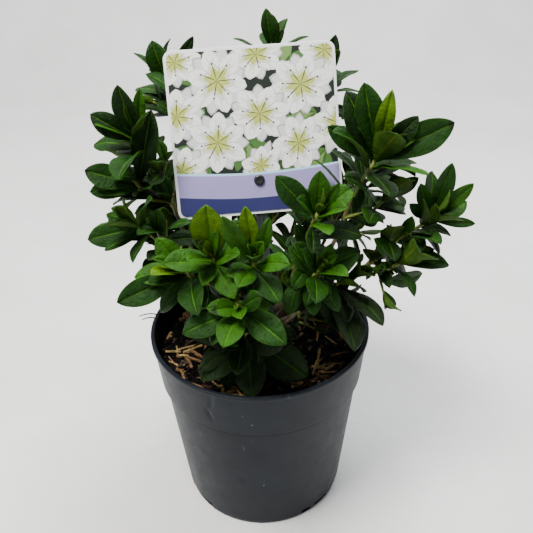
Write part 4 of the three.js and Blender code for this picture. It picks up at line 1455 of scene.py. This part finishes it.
def roundedOutline(inset, steps=12):
    half, rise, radius = card["width"] / 2 - inset, card["height"] / 2 - inset, card["corner"] - inset * 0.8
    corners = [((half - radius, rise - radius), 0), ((-half + radius, rise - radius), 90),
               ((-half + radius, -rise + radius), 180), ((half - radius, -rise + radius), 270)]
    return [point for centre, start in corners for point in arc(centre, radius, start, start + 90, steps)]


def clipped(outline, window):
    # what part of an outline lies inside a convex window
    for k, start in enumerate(window):
        end = window[(k + 1) % len(window)]
        edge = (end[0] - start[0], end[1] - start[1])
        if abs(edge[0]) + abs(edge[1]) < 1e-9:
            continue
        signed = [edge[0] * (p[1] - start[1]) - edge[1] * (p[0] - start[0]) for p in outline]
        kept = []
        for j, point in enumerate(outline):
            before, inside, wasInside = outline[j - 1], signed[j] >= 0, signed[j - 1] >= 0
            if inside != wasInside:
                share = signed[j - 1] / (signed[j - 1] - signed[j])
                kept.append((lerp(before[0], point[0], share), lerp(before[1], point[1], share)))
            if inside:
                kept.append(point)
        outline = kept
        if len(outline) < 3:
            return []
    return outline


def cardPlate():
    edge, thickness = cardLook["edge"], card["thickness"]
    rings = [(edge, 0), (0, edge), (0, thickness - edge), (edge, thickness)]
    outlines = [np.array([(x, y, z) for x, y in roundedOutline(inset)]) for inset, z in rings]
    count = len(outlines[0])
    faces = [list(range(count))[::-1], [3 * count + j for j in range(count)]]
    return onCard(np.concatenate(outlines)), faces + ringFaces(count, len(rings))


def turnedShape(points, x, y, degrees):
    cos, sin = math.cos(math.radians(degrees)), math.sin(math.radians(degrees))
    return [(x + px * cos - py * sin, y + px * sin + py * cos) for px, py in points]


def squashed(points, squash):
    return [(x, y * squash) for x, y in points]


def lens(length, width, ruffle=0.0, count=20, blunt=0.75):
    # a pointed oval, with its edge in small waves towards the end
    half = []
    for k in range(count + 1):
        wide = math.sin(math.pi * (k / count) ** 1.1) ** blunt
        half.append((length * k / count, width / 2 * wide * (1 + ruffle * math.sin(k * 2.2) * k / count)))
    return half + [(x, -y) for x, y in half[::-1][1:-1]]


def makeCard(materials):
    builder = Builder()
    builder.add(*cardPlate(), 0)
    window = roundedOutline(cardLook["border"])
    level = card["thickness"] + cardLook["lift"]

    def lay(outline, shade):
        shape = clipped(outline, window)
        if len(shape) > 2:
            verts = onCard([(x, y, level) for x, y in shape])
            builder.add(verts, [list(range(len(shape)))], cardShades.index(shade))

    lay(window, "printDark")
    level += cardLook["step"]
    for x, y, length, turn in cardLook["sprigs"]:
        for side in (-38, 38, 0):
            leaf = turnedShape(lens(length, length * 0.36), x, y, turn + side)
            lay(leaf, "printGreen" if side else "printLeaf")
    for x, y, radius, turn, squash in cardLook["blossoms"]:
        for shade, reach, share, offset, ruffle in cardLook["layers"]:
            level += cardLook["step"]
            for k in range(cardLook["petals"]):
                shape = lens(radius * reach * (1 + 0.05 * math.sin(k * 2 + x)), radius * share, ruffle)
                petal = turnedShape(shape, 0, 0, k * 360 / cardLook["petals"])
                lay(turnedShape(squashed(petal, squash), x, y, turn + offset), shade)
        level += cardLook["step"]
        for k in range(cardLook["stamens"]):
            stalk = turnedShape(lens(radius * 0.52, radius * 0.03), 0, 0, k * 51 + 8)
            lay(turnedShape(squashed(stalk, squash), x, y, turn), "stamen")
            tip = turnedShape([(radius * 0.53, 0)], 0, 0, k * 51 + 8)
            tip = turnedShape(squashed(tip, squash), x, y, turn)[0]
            lay(arc(tip, radius * 0.032, 0, 330, 8), "stamen")
    half = card["width"] / 2
    for high, bow, shade in cardLook["bands"]:
        level += cardLook["step"]
        xs = np.linspace(-half, half, 40)
        upper = [(x, high + bow * math.sin(math.pi * (x + half) / card["width"])) for x in xs[::-1]]
        lay([(x, -60) for x in xs] + upper, shade)
    return builder.make("label_card_print", materials, smooth=False)


def plasticMaterial(name, color, roughness, coat=0.0):
    material, tree, shader = startMaterial(name, color, roughness)
    mottled(tree, shader, color, tuple(c * 0.93 for c in color), 60.0, 1.5)
    shader.inputs["Coat Weight"].default_value = coat
    shader.inputs["Coat Roughness"].default_value = 0.16
    grained(tree, shader, 600.0, 0.00003)
    return material


cardObject = makeCard([plasticMaterial(name, color, cardLook["roughness"], cardLook["coat"])
                       for name, color in cardLook["shades"].items()])
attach(cardObject, "root")
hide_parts("label_card")

# Peg: a flat bar with two grooves down each face, and a pointed foot
pegLook = {
    "top": 8, "buried": 62, "point": 14, "groove": 0.32, "grooveAt": 1.6, "grooveHalf": 0.8,
    "bevel": 0.2, "color": (0.018, 0.023, 0.023), "roughness": 0.42,
    "pinColor": (0.012, 0.013, 0.014), "pinRoughness": 0.32,
}


def makePeg(material):
    half, back, front, bevel = peg["width"] / 2, -gap - peg["thickness"], -gap, pegLook["bevel"]

    def grooves(face, into, way):
        points = []
        for x in (-pegLook["grooveAt"] * way, pegLook["grooveAt"] * way):
            wide = pegLook["grooveHalf"] * way
            narrow = wide - 0.3 * way
            points += [(x - wide, face), (x - narrow, face + into)]
            points += [(x + narrow, face + into), (x + wide, face)]
        return points

    section = [(-half, back + bevel), (-half + bevel, back)] + grooves(back, pegLook["groove"], 1)
    section += [(half - bevel, back), (half, back + bevel), (half, front - bevel), (half - bevel, front)]
    section += grooves(front, -pegLook["groove"], -1) + [(-half + bevel, front), (-half, front - bevel)]
    top = -card["pinDrop"] + pegLook["top"]
    foot = -card["centreAlong"] - pegLook["buried"]
    stations = [(top, 0.9), (top - 0.5, 1.0)]
    stations += [(y, 1.0) for y in np.linspace(top - 1, foot + pegLook["point"], 20)]
    stations.append((foot + 0.3, 0.04))
    verts = np.concatenate([[(x * share, y, z) for x, z in section] for y, share in stations])
    count = len(section)
    faces = [list(range(count)), [(len(stations) - 1) * count + j for j in range(count)][::-1]]
    faces += ringFaces(count, len(stations), flipped=True)
    obj = meshObject("label_peg_bar", onCard(verts), faces, [material])
    obj.data.set_sharp_from_angle(angle=math.radians(30))
    return obj


def makePin(material):
    # a domed stud with a shallow dish in its head
    head, rise = pin["headRadius"], pin["headHeight"]
    low, back = card["thickness"] + gap, -peg["thickness"]
    profile = [(0, back - gap * 3), (1.7, back - gap * 3), (2.0, back - gap * 2)]
    profile += [(2.0, low), (head * 0.62, low + 0.02), (head - 0.35, low + 0.35)]
    profile += [(head, low + 0.9), (head - 0.12, low + 1.4), (head * 0.84, low + rise * 0.9)]
    profile += [(head * 0.66, low + rise), (head * 0.5, low + rise * 0.96), (head * 0.3, low + rise * 0.84)]
    profile += [(0, low + rise * 0.8)]
    verts, faces = turnedMesh(profile, 64)
    obj = meshObject("label_pin_stud", onCard(verts - (0, card["pinDrop"], 0)), faces, [material])
    obj.data.set_sharp_from_angle(angle=math.radians(50))
    return obj


pegObject = makePeg(plasticMaterial("pegPlastic", pegLook["color"], pegLook["roughness"]))
pinObject = makePin(plasticMaterial("pinPlastic", pegLook["pinColor"], pegLook["pinRoughness"]))
for obj, node, slot in ((pegObject, "label_peg", "peg"), (pinObject, "label_pin", "pin")):
    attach(obj, "root")
    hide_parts(node)
print("card, peg and pin built")

# Studio: a pale cloth floor rising behind, soft light from above and a little in front
studio = {
    "half": 3.0, "squares": 60, "riseFrom": 1.0, "rise": 1.2,
    "floor": (0.80, 0.80, 0.79), "floorShade": (0.60, 0.60, 0.58),
    "world": (0.92, 0.95, 1.0), "worldStrength": 0.45, "target": (0, 0, 0.2),
    # each light: place, size, power and colour
    "lights": {
        "key": ((-0.45, -0.35, 1.7), 0.7, 60, (1, 0.98, 0.95)),
        "top": ((0.4, 0.6, 1.9), 1.0, 50, (0.96, 0.98, 1)),
    },
}


def makeFloor():
    verts, faces, count = [], [], studio["squares"]
    steps = [(k / count - 0.5) * 2 * studio["half"] for k in range(count + 1)]
    for y in steps:
        back = max(0.0, y - studio["riseFrom"])
        verts += [(x / mm, y / mm, back * back * studio["rise"] / mm) for x in steps]
    for j in range(count):
        for i in range(count):
            a = j * (count + 1) + i
            faces.append([a, a + 1, a + count + 2, a + count + 1])
    material, tree, shader = startMaterial("cloth", studio["floor"], 0.9)
    mottled(tree, shader, studio["floor"], studio["floorShade"], 6.0, 1.2)
    grained(tree, shader, 160.0, 0.001)
    return meshObject("cloth_floor", verts, faces, [material])


def areaLight(name, place, size, power, color):
    data = bpy.data.lights.new(name, "AREA")
    data.shape = "DISK"
    data.size = size
    data.energy = power
    data.color = color
    obj = bpy.data.objects.new(name, data)
    obj.location = place
    obj.rotation_euler = (Vector(studio["target"]) - Vector(place)).to_track_quat("-Z", "Y").to_euler()
    bpy.context.scene.collection.objects.link(obj)


makeFloor()
world = bpy.data.worlds.new("studio")
bpy.context.scene.world = world
world.use_nodes = True
background = world.node_tree.nodes["Background"]
background.inputs["Color"].default_value = (*studio["world"], 1)
background.inputs["Strength"].default_value = studio["worldStrength"]
for name, settings in studio["lights"].items():
    areaLight(name, *settings)
print("studio built")
